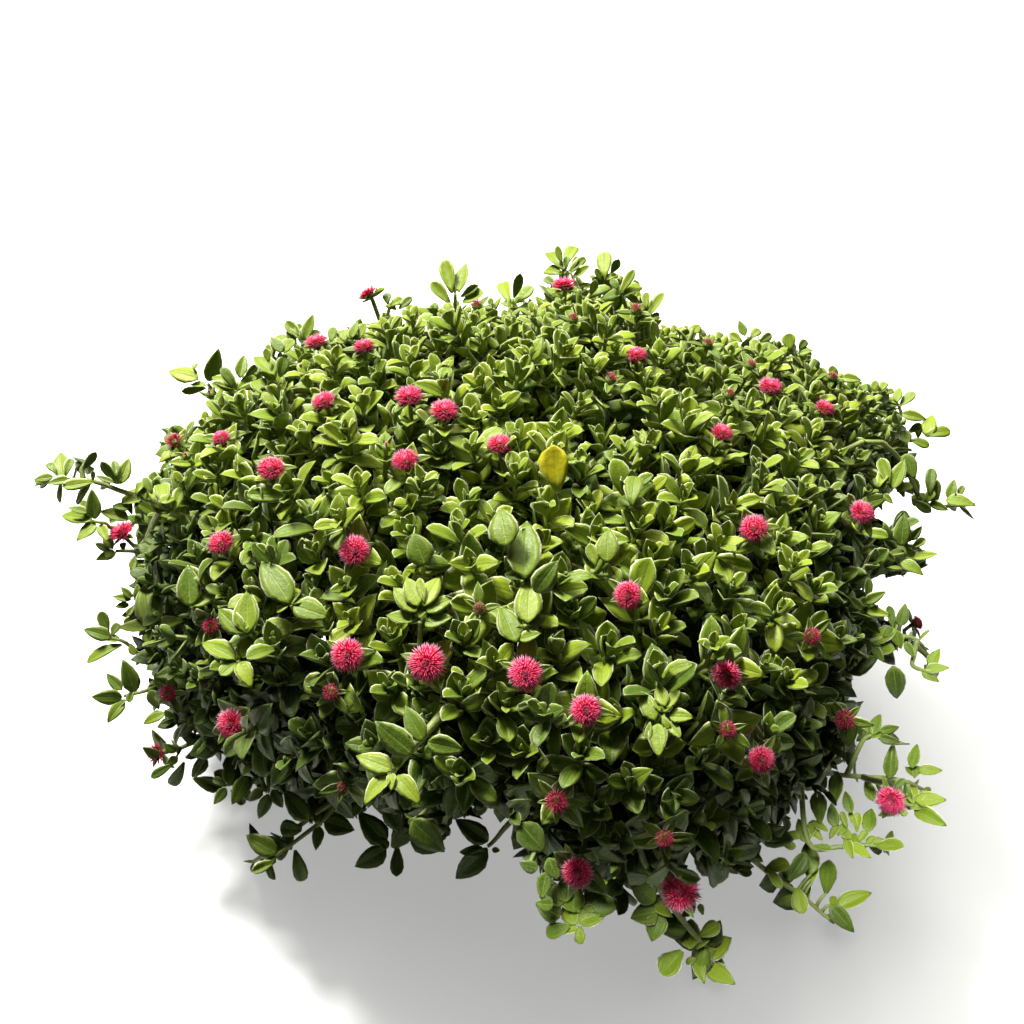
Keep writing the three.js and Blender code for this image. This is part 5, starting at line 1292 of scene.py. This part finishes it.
for idx in chosen:
    p0, d = PT[idx], D[idx]
    n = mound_normal(d)
    f = front(p0)
    low = float(np.clip((0.55 - n[2]) / 0.75, 0, 1))          # 0 on the crown of the mound, 1 on its skirt
    size = (0.0132 + 0.0052 * max(f, 0.5 * low) + 0.0012 * low) * rng.uniform(0.84, 1.18)
    lift = rng.normal(-0.009, 0.0045)
    if rng.uniform() < 0.10:
        lift += rng.uniform(0.004, 0.014)
    tip = p0 + unit(p0 - MOUND) * lift
    # light painted into these leaves from their place on the mound, varied at random
    painted_light = painted_light_at(p0, n) + rng.normal(0, 0.13)
    axis = unit(n * (0.35 + 0.6 * low) + np.array([0, 0, 1.0 - 0.85 * low + rng.normal(0, 0.18)]) + rng.normal(0, 0.20, 3))
    k = nearest_branch(tip)
    a = start_point(k, tip)
    reach = np.linalg.norm(tip - a)
    ctrl = np.array([a, a + (tip - a) * 0.35 + rng.normal(0, 0.003, 3), tip - axis * min(0.034, reach * 0.5), tip])
    if tip[2] < 0.006 or in_gap(tip):
        continue
    seen = n @ unit(EYE - p0) > 0.0 and f > 0.45
    details = [1, 0, 0, 0, 0, 1, 2] if seen else [2, 1, 1, 1, 1, 2]
    mixed = [(u[0], u[1], u[2] * (1 - low) + w[2] * low) for u, w in zip(UPRIGHT, SPREAD)]
    mixed = [(u[0] * (1 - low) + w[0] * low, m[1], m[2]) for u, w, m in zip(UPRIGHT, SPREAD, mixed)]
    shoot(pieces[k], ctrl, size, details, painted_light, pairs=mixed, up_pull=0.12 + 0.22 * low, sides=5, slim=1.0 - 0.06 * (1 - low), blunt=0.62 * (1 - low) + 0.08, knots=6)

# shorter shoots behind the outer ones, their leaves painted in shade, less so where the mound faces up
taken_in = np.zeros((0, 3))
for idx in rng.permutation(count)[:9000]:
    d = D[idx]
    p = MOUND + (PT[idx] - MOUND) * (0.86 - 0.14 * ((idx * 7) % 10) / 10)
    if p[2] < 0.018 or d[2] < -0.75 or np.linalg.norm(p - HOLLOW) < 0.012:
        continue
    if p[2] < 0.138 and math.hypot(p[0], p[1]) < POT["rim"] + 0.012:
        continue
    if len(taken_in) and (np.linalg.norm(taken_in - p, axis=1) < 0.0225).any():
        continue
    taken_in = np.vstack([taken_in, p])
    if in_gap(p):
        continue
    k = nearest_branch(p)
    a = start_point(k, p)
    axis = unit(d + (0, 0, 0.5) + rng.normal(0, 0.3, 3))
    reach = np.linalg.norm(p - a)
    shoot(pieces[k], np.array([a, a + (p - a) * 0.4, p - axis * min(0.02, reach * 0.4), p]), 0.0185, [2], 0.10 + 0.34 * max(0.0, float(d[2])), sides=3, knots=4, up_pull=0.3, slim=1.0,
          pairs=[(0.0, 0.8, 30), (0.004, 1.0, 55), (0.011, 1.0, 68), (0.020, 1.0, 78)])
# a last layer close to the limbs, under the crown of the mound, its leaves painted in shade
deep_in = np.zeros((0, 3))
for idx in rng.permutation(count)[:5000]:
    d = D[idx]
    p = MOUND + (PT[idx] - MOUND) * (0.60 + 0.012 * (idx % 10))
    if d[2] < 0.12 or (len(deep_in) and (np.linalg.norm(deep_in - p, axis=1) < 0.023).any()):
        continue
    deep_in = np.vstack([deep_in, p])
    k = nearest_branch(p)
    a = bezier(limbs[k], rng.uniform(0.1, 0.6))[0]
    shoot(pieces[k], np.array([a, a + (p - a) * 0.4, p - d * 0.008, p]), 0.021, [2], 0.2, sides=3, knots=4, up_pull=0.2, slim=1.15,
          pairs=[(0.0, 1.0, 40), (0.006, 1.0, 70), (0.014, 1.0, 82)])
print("inner:", len(taken_in), len(deep_in))

for tip, axis, kind, (L, painted_light) in sites:
    k = nearest_branch(tip)
    a = start_point(k, tip)
    ctrl = np.array([a, a + (tip - a) * 0.35, tip - axis * 0.030, tip])
    shoot(pieces[k], ctrl, L, [0], painted_light, up_pull=0.15, radii=(0.0026, 0.0018), sides=8, pairs=SPREAD)

for x, y, dx, dy, length, leaf, painted_light in STAND_OUT:
    p, hit = through(x, y, 1.0)
    leaf = leaf * 0.86
    away = unit(EYE - p)
    if hit:
        p = p + unit(p - MOUND) * 0.004
    axis = unit(RIGHT * dx - UP * dy + away * 6)
    tip = p - axis * leaf / 1000 * 0.18
    k = nearest_branch(tip)
    a = start_point(k, tip)
    ctrl = np.array([a, a + (tip - a) * 0.4, tip - axis * length / 1000 * 0.55, tip])
    shoot(pieces[k], ctrl, leaf / 1000, [0], painted_light, up_pull=0.12, sides=6,
          pairs=[(0.0, 0.32, 14), (0.0015, 0.58, 32), (0.0055, 0.86, 48), (0.0125, 1.0, 60), (0.0225, 1.0, 66), (0.036, 0.95, 70), (0.05, 0.9, 72)])

# the thick bare stem of a long shoot low on the front, whose leaves carry painted light
a0, a1, a2 = through(440, 716, 0.96)[0], through(415, 748, 1.0)[0], through(391, 776, 1.0)[0]
out = unit(EYE - a2)
k = nearest_branch(a0)
root = bezier(limbs[k], 0.9)[0]
route = np.concatenate([bezier(np.array([root, root + (a0 - root) * 0.5, a0 - (a1 - a0) * 0.5, a0 + out * 0.002]), np.linspace(0, 1, 8))[:-1],
                        bezier(np.array([a0 + out * 0.002, a1 + out * 0.008, a2 + out * 0.010 + (0, 0, 0.006), a2 + out * 0.012]), np.linspace(0, 1, 12))])
pieces[k].stems.stem(route, np.linspace(0.0024, 0.0018, len(route)), 10, (0.8, 0.10, 0.1))

# ------------------------------------------------------------------ shoots set leaf by leaf
def place(x, y, depth):
    """The point at an image place and a depth, kept off the surface that the plant stands on."""
    p = EYE + depth * (FWD + RIGHT * (x - 512) / FOCAL_PX + UP * (512 - y) / FOCAL_PX)
    while p[2] < 0.0035:
        p = p + unit(EYE - p) * 0.002
    return p


def catmull(points, n):
    P = np.array([2 * points[0] - points[1]] + list(points) + [2 * points[-1] - points[-2]])
    out = []
    for i in range(1, len(P) - 2):
        for t in np.linspace(0, 1, n, endpoint=False):
            out.append(0.5 * ((2 * P[i]) + (-P[i - 1] + P[i + 1]) * t + (2 * P[i - 1] - 5 * P[i] + 4 * P[i + 1] - P[i + 2]) * t * t
                              + (-P[i - 1] + 3 * P[i] - 3 * P[i + 1] + P[i + 2]) * t ** 3))
    out.append(P[-2])
    return np.array(out)


ROUTES = {name: catmull(np.array(route, float) / 1000, 8) for name, route in TRAILS}
trail_pieces = {name: Piece(name) for name in ROUTES}
front_pieces = {}        # shoots that stand clear at the front, one piece for each branch
SUNWARD = unit(np.array([-0.95, 0.94, 2.25]))


def seen_leaf(piece, x0, y0, x1, y1, wide_px, painted_light, blunt, depth, dry=0.0, hue=None):
    """A leaf whose base, tip and width are seen in the image. The light given is painted into its colour, and a well
    lit leaf is also turned towards the light.
    """
    p0 = place(x0, y0, depth)
    see = unit(EYE - p0)
    n = unit(see + float(np.interp(painted_light, [0.2, 0.45, 0.9], [-0.30, 0.0, 0.95])) * SUNWARD + rng.normal(0, 0.10, 3))
    flat = float(np.linalg.norm(place(x1, y1, depth) - p0))
    ray = FWD + RIGHT * (x1 - 512) / FOCAL_PX + UP * (512 - y1) / FOCAL_PX
    reach = float(((p0 - EYE) @ n) / (ray @ n))
    p1 = place(x1, y1, min(max(reach, depth - 0.8 * flat), depth + 0.8 * flat))
    d = p1 - p0
    L = float(np.linalg.norm(d))
    n = unit(n - unit(d) * (n @ unit(d)))
    side = np.cross(n, unit(d))
    variant = int(rng.choice((10, 11, 13, 14))) if blunt else int(rng.choice((0, 1, 3, 6, 7, 8)))
    shown = WIDTHS[variant] * L * float(np.linalg.norm(side - see * (side @ see))) * FOCAL_PX / depth
    piece.leaves.add(0, variant, p0, d, n, L * 1.03, min(1.6, max(0.75, wide_px / shown)),
                     (rng.uniform(0.2, 0.9) if hue is None else hue, painted_light, dry), keep=True)
    r = 0.30 * math.hypot(x1 - x0, y1 - y0)
    SIGHT.append((x0 * 0.40 + x1 * 0.60, y0 * 0.40 + y1 * 0.60, max(4.0, min(r, 12.0)), float((p0 + d * 0.5 - EYE) @ FWD)))


for carrier, off, stem, leaves in SPRAYS:
    x, y = stem[0] if stem else leaves[0][:2]
    if carrier:
        piece, route = trail_pieces[carrier], ROUTES[carrier]
        rx, ry, rd = project(route)
        j = int(np.argmin(np.hypot(rx - x, ry - y)))
        root = route[j]
    else:
        depth0 = float((through(*(stem[-1] if stem else (x, y)))[0] - EYE) @ FWD)
        k = nearest_branch(place(*(stem[-1] if stem else (x, y)), depth0))
        if y > 560:
            group = "_front_low" if x > 540 and y > 800 else "_front"
            piece = front_pieces.setdefault((k, group), Piece(BRANCHES[k][0] + group))
        else:
            piece = pieces[k]
        root = bezier(limbs[k], 0.85)[0]
    if stem:
        depths = []
        for q, (sx, sy) in enumerate(stem):
            if carrier:
                depths.append(float(rd[int(np.argmin(np.hypot(rx - sx, ry - sy)))]) if q == 0 else depths[0] - off / 1000 * q / (len(stem) - 1))
            else:
                depths.append(depth0 + (0.010 if q == 0 else 0.0) - off / 1000 * (q + 1) / len(stem))
        P = [place(sx, sy, dd) for (sx, sy), dd in zip(stem, depths)]
        if carrier:
            P[0] = root
        else:
            P = [root, P[0] * 0.55 + root * 0.45] + P
        pts = catmull(np.array(P), 5)
        piece.stems.stem(pts, np.linspace(0.0017, 0.0010, len(pts)), 7, (rng.uniform(0.2, 0.9), 0.12, 0.15))
    for x0, y0, x1, y1, w, painted_light, blunt in leaves:
        if carrier:
            j = int(np.argmin(np.hypot(rx - x0, ry - y0)))
            dd = float(rd[j]) - 0.0028
            if stem and len(stem) > 1:
                q = int(np.argmin([math.hypot(a - x0, b - y0) for a, b in stem]))
                if math.hypot(stem[q][0] - x0, stem[q][1] - y0) < math.hypot(rx[j] - x0, ry[j] - y0):
                    dd = depths[q]
            if math.hypot(rx[j] - x0, ry[j] - y0) > 9 and not stem:
                base = place(x0, y0, dd)
                piece.stems.stem(np.array([route[j], (route[j] + base) / 2 + UP * 0.001, base]), [0.0012, 0.0010, 0.0008], 6, (0.5, 0.12, 0.1))
        elif stem:
            dd = depths[-1]
        else:
            dd = depth0 - off / 1000
        seen_leaf(piece, x0, y0, x1, y1, w, painted_light, blunt, dd)
    # leaves on the far side of the same shoot
    if stem:
        tip = P[-1]
        for q in range(3):
            away = unit(FWD * 0.8 + RIGHT * rng.normal(0, 0.6) + UP * rng.normal(0, 0.5))
            L = rng.uniform(0.010, 0.014)
            if not any(in_the_way(tip + away * L * w) for w in (0.2, 1.0)):
                piece.leaves.add(1, int(rng.choice(POINTED)), tip, away, unit(unit(P[-1] - P[-2]) - away * 0.3), L, 1.0, (rng.uniform(0.2, 0.8), 0.4, 0.0))

# one leaf on the face of the mound has turned yellow
depth0 = float((through(556, 490)[0] - EYE) @ FWD) - 0.006
k = nearest_branch(place(556, 490, depth0))
seen_leaf(pieces[k], 558, 491, 556, 447, 31, 0.6, 1, depth0, dry=0.42, hue=0.4)

# dry leaves deep inside, on the limbs, with painted shade
for j in range(90):
    k = int(rng.integers(len(limbs)))
    P = bezier(limbs[k], rng.uniform(0.2, 0.98))[0]
    T = unit(bezier(limbs[k], 0.9)[0] - bezier(limbs[k], 0.5)[0])
    a = rng.normal(size=3); a = unit(a - T * (a @ T))
    leaf_pair(pieces[k], P, T, a, 75, rng.uniform(0.014, 0.02), 2, (0.4, 0.2, 0.85 if rng.uniform() < 0.6 else 0.4), wide=0.8)

# ------------------------------------------------------------------ trailing stems
for i, (name, _) in enumerate(TRAILS):
    pc, pts = trail_pieces[name], ROUTES[name]
    if i == 7:                  # only its far end shows, between the leaves and the foliage beside them
        pts = pts[::-1]
    k = nearest_branch(pts[0])
    a = bezier(limbs[k], 0.75)[0]
    lead = bezier(np.array([a, a + (pts[0] - a) * 0.4, pts[0] - unit(pts[1] - pts[0]) * 0.02, pts[0]]), np.linspace(0, 1, 9))[:-1]
    end = [len(pts), len(pts), len(pts) - 6, len(pts) - 4, len(pts) - 6, len(pts) - 10, len(pts) - 8, 9][i]
    pts = np.concatenate([lead, pts[:end]])
    # light painted into the leaves of each trailing stem
    painted_light = [0.8, 0.7, 0.55, 0.5, 0.55, 0.75, 0.4, 0.3][i]
    size = [0.0145, 0.0165, 0.0170, 0.0175, 0.0185, 0.0190, 0.0185, 0.0185][i]
    shoot(pc, pts, size, [0, 1], painted_light, radii=(0.0021, 0.0011), up_pull=0.35, sides=8, red=0.25, only=[-0.15, -0.15, -0.15, -0.15, -0.6, -0.3, -0.15, -1.1][i],
          pairs=[(0.0, 0.34, 14), (0.0055, 0.80, 50), (0.0140, 1.0, 62), (0.0240, 1.0, 68), (0.0360, 0.95, 70),
                 (0.0490, 0.95, 70), (0.0620, 0.9, 70), (0.0760, 0.9, 70), (0.090, 0.9, 70)])
    pieces.append(pc)
pieces += list(front_pieces.values())

# ------------------------------------------------------------------ flowers
def petal(B, base, axis, out, length, width, lean, bend, tint, steps, kind=0.0):
    """A narrow three-sided petal that starts along its lean and bends outwards."""
    nrm = np.cross(axis, out)
    P, ang, p = [], lean, base.copy()
    seg = length / steps
    for i in range(steps + 1):
        P.append(p.copy())
        d = axis * math.cos(ang) + out * math.sin(ang)
        p = p + d * seg
        ang += bend / steps
    V, L = [], []
    for i in range(steps):
        u = i / steps
        w = width / 2 * (0.55 + 0.75 * u if u < 0.6 else 1.0 - 0.55 * (u - 0.6) / 0.4)
        t = width * 0.32
        a = lean + bend * u
        d = axis * math.cos(a) + out * math.sin(a)
        up = np.cross(nrm, d)
        V += [P[i] - nrm * w, P[i] + nrm * w, P[i] - up * t]
        L += [(u, -1, kind), (u, 1, kind), (u, 0, kind)]
    V.append(P[-1]); L.append((1, 0, kind))
    flat, sizes = [2, 1, 0], [3]
    for i in range(steps - 1):
        for k in range(3):
            a0, a1 = i * 3 + k, i * 3 + (k + 1) % 3
            flat += [a0, a1, a1 + 3, a0 + 3]; sizes.append(4)
    T = len(V) - 1
    for k in range(3):
        flat += [(steps - 1) * 3 + k, (steps - 1) * 3 + (k + 1) % 3, T]; sizes.append(3)
    B.add(np.array(V), flat, sizes, np.array(L), np.tile(tint, (len(V), 1)), None)


def volume(ob):
    """Signed volume, to find shells turned inside out."""
    me = ob.data
    co = np.empty(len(me.vertices) * 3, np.float32); me.vertices.foreach_get("co", co); co = co.reshape(-1, 3)
    me.calc_loop_triangles()
    tr = np.empty(len(me.loop_triangles) * 3, np.int32); me.loop_triangles.foreach_get("vertices", tr); tr = tr.reshape(-1, 3)
    a, b, c = co[tr[:, 0]], co[tr[:, 1]], co[tr[:, 2]]
    return float(np.einsum("ij,ij->i", a, np.cross(b, c)).sum() / 6)


def cup(B, base, axis, r0, r1, h, tint):
    """Green cup below the petals."""
    s = unit(np.cross(axis, (0, 0, 1.0) if abs(axis[2]) < 0.9 else (1.0, 0, 0))); t = np.cross(axis, s)
    rows = [(0.0, r0), (0.25, r0 * 1.15), (0.5, (r0 + r1) * 0.56), (0.8, r1 * 0.98), (1.0, r1 * 0.9)]
    a = np.arange(10) * math.pi / 5
    V = np.concatenate([base + axis * h * z + r * (np.cos(a)[:, None] * s + np.sin(a)[:, None] * t) for z, r in rows] + [[base], [base + axis * h * 0.92]])
    L = np.concatenate([np.c_[np.full(10, 0.3 + 0.3 * z), np.cos(a) * 0.5, np.zeros(10)] for z, _ in rows] + [np.zeros((1, 3)), np.zeros((1, 3))])
    k = np.arange(10); k2 = (k + 1) % 10
    flat, sizes = [], []
    for i in range(len(rows) - 1):
        flat.append(np.stack([i * 10 + k, i * 10 + k2, i * 10 + 10 + k2, i * 10 + 10 + k], 1).ravel()); sizes += [4] * 10
    m = len(rows) * 10
    flat.append(np.stack([np.full(10, m), k2, k], 1).ravel()); sizes += [3] * 10
    flat.append(np.stack([np.full(10, m + 1), m - 10 + k, m - 10 + k2], 1).ravel()); sizes += [3] * 10
    B.add(V, np.concatenate(flat), sizes, L, np.tile(tint, (len(V), 1)), None)


def fit_matrix(axis):
    s = unit(np.cross(axis, (0, 0, 1.0) if abs(axis[2]) < 0.9 else (1.0, 0, 0)))
    return s, np.cross(axis, s)


bloom = 0
for p, axis, dia, state, node, (x, y) in flower_sites:
    R = min(max(dia / 2, 0.004), 0.0098)
    if state == 3:
        R = 0.0034
    s, t = fit_matrix(axis)
    petals, green = Batch(), Batch()
    base = p - axis * 0.0040
    k = nearest_branch(p)
    near = (p - EYE) @ FWD < 0.72
    # state 1 flowers get painted shade; fading flowers and buds are a little darker of their own
    tint = (rng.uniform(0, 1), {0: 0.0, 1: 0.0, 2: 0.8, 3: 0.0}[state], {0: 0.0, 1: 0.75, 2: 0.2, 3: 0.3}[state])
    rows = [(48, 1.00, 84, 4, 0.0), (46, 1.00, 73, 4, 0.0003), (42, 0.95, 63, 2, 0.0006), (34, 0.82, 52, 0, 0.0009), (26, 0.62, 40, -4, 0.0011), (20, 0.46, 25, -8, 0.0013), (14, 0.37, 13, -6, 0.0014), (7, 0.33, 4, 0, 0.0016)]
    if not near:
        rows = [(34, 1.00, 80, 4, 0.0), (30, 0.98, 66, 2, 0.0005), (22, 0.80, 50, 0, 0.0009), (16, 0.56, 32, -6, 0.0012), (11, 0.40, 14, -6, 0.0014)]
    if state == 1:
        rows = [(26, 1.0, 70, -6, 0.0), (24, 0.97, 54, -8, 0.0005), (18, 0.92, 36, -4, 0.0009), (8, 0.85, 16, 0, 0.0012)]
    if state == 2:
        rows = [(22, 0.9, 44, -30, 0.0), (18, 0.85, 28, -20, 0.0005), (8, 0.8, 12, -8, 0.0009)]
    if state == 3:
        rows = [(14, 1.0, 12, -14, 0.0), (8, 0.9, 4, 0, 0.0006)]
    steps = 3 if near else 2
    for cnt, ln, lean, bend, h in rows:
        for j in range(cnt):
            a = 2 * math.pi * (j + rng.uniform(-0.3, 0.3)) / cnt + h * 900
            out = s * math.cos(a) + t * math.sin(a)
            start = 0.0022 if state != 3 else 0.0009
            petal(petals, base + axis * (0.0016 + h) + out * (start * math.sin(math.radians(max(lean, 4)))), axis, out,
                  max(0.002, (R - start * 0.6) * ln * rng.uniform(0.88, 1.10) * 1.06), (0.00070 if near else 0.00096) * (R / 0.0085) ** 0.5,
                  math.radians(lean + rng.normal(0, 5)), math.radians(bend + rng.normal(0, 8)),
                  np.clip(np.array(tint) + (rng.normal(0, 0.3), 0, 0), 0, 1), steps)
    cup(green, base - axis * 0.0030, axis, 0.0012, 0.0032 if state != 3 else 0.0024, 0.0052, (0.5, 0.45, 0.0))
    tag = node if node else f"bloom_{bloom + 1:02d}"
    bloom += 0 if node else 1
    if (x, y) == (885, 799):
        LIT_BLOOM = tag
    carrier = node if node else BRANCHES[k][0]
    ob = petals.build(f"{tag}_petals", PETAL)
    finish_piece(ob, "petals", carrier)
    gl = Leaves()
    gp = Piece(tag)
    for j, (ln, op, wd) in enumerate([(0.0122, 77, 0.62), (0.0116, 79, 0.62), (0.0085, 76, 0.6), (0.0085, 74, 0.6), (0.0075, 72, 0.6)]):
        a = j * 2.4 + x
        out = s * math.cos(a) + t * math.sin(a)
        if state == 3:
            ln, op = ln * 0.6, op * 0.4
        d = axis * math.cos(math.radians(op)) + out * math.sin(math.radians(op))
        gp.leaves.add(0 if near else 1, int(rng.integers(10)), base + out * 0.0018 - axis * 0.001, d, axis * math.sin(math.radians(op)) - out * math.cos(math.radians(op)), ln, wd,
                      (rng.uniform(0.2, 0.8), 0.6, 0.0))
    sep = gp.leaves.build(f"{tag}_sepals", LEAF)
    finish_piece(sep, "foliage", carrier)
    cu = green.build(f"{tag}_cup", LEAF)
    finish_piece(cu, "foliage", carrier)
    # the shoot that carries it
    end = base - axis * 0.0026
    if (node and node == "flower_10") or (x, y) in ((885, 799), (915, 621), (125, 531)):
        tr = {(681, 901): 5, (885, 799): 3, (915, 621): 2, (125, 531): 0}[(x, y)]
        route = ROUTES[TRAILS[tr][0]]
        a = route[int(np.argmin(np.linalg.norm(route - end, axis=1)))] if tr != 5 else route[2]
    else:
        a = start_point(k, end)
    # light painted into the leaves of the shoot below the flower, from its place on the mound
    painted_light = painted_light_at(p, mound_normal(unit(p - MOUND)))
    ctrl = np.array([a, a + (end - a) * 0.35, end - axis * min(0.026, 0.5 * np.linalg.norm(end - a)), end])
    size = 0.0152 + 0.0062 * front(p)
    shoot(pieces[k], ctrl, size, [0 if near else 1], painted_light, tip_gap=0.0055, up_pull=0.12, radii=(0.0019, 0.0013),
          pairs=[(0.0, 0.78, 52), (0.006, 0.98, 62), (0.016, 1.0, 70), (0.030, 1.0, 74), (0.046, 0.95, 76)])

# ------------------------------------------------------------------ meshes of the foliage
made = {}
levels = {}
for pc in pieces:
    for it in pc.leaves.items:
        levels[it[0]] = levels.get(it[0], 0) + 1
    lo = pc.leaves.build(f"{pc.name}_leaves", LEAF, trim="sight" if pc.name.startswith("trailing") else "edge")
    carrier = pc.name.split("_front")[0]
    if lo:
        finish_piece(lo, "foliage", carrier)
    st = pc.stems.build(f"{pc.name}_stems", STEM)
    if st:
        finish_piece(st, "stem", carrier)
    made[pc.name] = (lo, st)

# ------------------------------------------------------------------ floor and light
me = bpy.data.meshes.new("floor")
me.from_pydata([(-6, -6, -0.0004), (6, -6, -0.0004), (6, 6, -0.0004), (-6, 6, -0.0004)], [], [(0, 1, 2, 3)])
me.materials.append(make_floor())
floor = bpy.data.objects.new("floor", me)
bpy.context.collection.objects.link(floor)
floor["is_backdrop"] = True
floor.visible_diffuse = False

world = bpy.data.worlds.new("world")
bpy.context.scene.world = world
world.use_nodes = True
bg = world.node_tree.nodes["Background"]
bg.inputs[0].default_value = (0.98, 1.0, 0.88, 1)
bg.inputs[1].default_value = 0.056


def area(name, loc, target, size, power, colour=(1, 1, 1)):
    ld = bpy.data.lights.new(name, "AREA")
    ld.shape = "DISK"; ld.size = size; ld.energy = power; ld.color = colour
    ob = bpy.data.objects.new(name, ld)
    ob.location = loc
    ob.rotation_euler = (Vector(target) - Vector(loc)).to_track_quat("-Z", "Y").to_euler()
    bpy.context.collection.objects.link(ob)
    return ob


key = area("key", (-0.95, 0.90, 2.40), (0, -0.04, 0.15), 0.6, 140, (1.0, 0.99, 0.94))
# a wide soft light straight above
above = area("above", (-0.14, 0.88, 2.1), (0, 0.0, 0.15), 1.6, 38, (1.0, 1.0, 0.92))
# the shoots that trail out at the front catch light of their own
front = area("front_light", (-0.35, -1.0, 2.2), (0.1, -0.18, 0.08), 0.5, 76, (0.95, 0.98, 1.0))
lit = bpy.data.collections.new("front_shoots")
for name in ("trailing_stem_03", "trailing_stem_04", "trailing_stem_05", "trailing_stem_06"):
    for ob in made[name]:
        if ob:
            lit.objects.link(ob)
for ob in bpy.data.objects:
    if ob.name.startswith("flower_10_") or ob.name.startswith(LIT_BLOOM + "_") or "_front_low" in ob.name:
        lit.objects.link(ob)
front.light_linking.receiver_collection = lit
lift = area("floor_light", (0.0, 0.0, 4.0), (0, 0, 0), 4.0, 150, (1.0, 1.0, 1.0))
# the second light only brightens the floor
on_floor = bpy.data.collections.new("floor_only")
on_floor.objects.link(floor)
lift.light_linking.receiver_collection = on_floor
lift.data.use_shadow = False
bpy.context.scene.view_settings.view_transform = "Standard"
# dark foliage passes little light on, so a few bounces are enough
bounces = bpy.context.scene.cycles
bounces.max_bounces, bounces.diffuse_bounces, bounces.glossy_bounces = 2, 2, 1
bounces.transmission_bounces = bounces.volume_bounces = 0
bounces.caustics_reflective = bounces.caustics_refractive = False


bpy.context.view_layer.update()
kinds = {}
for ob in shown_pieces():
    if ob.type == "MESH":
        t = len(ob.data.loops) - 2 * len(ob.data.polygons)
        key = ob.name.split("_")[-1]
        kinds[key] = kinds.get(key, 0) + t
        kinds["max"] = max(kinds.get("max", 0), t)
        kinds["all"] = kinds.get("all", 0) + t
print("triangles", kinds, "leaves", levels)
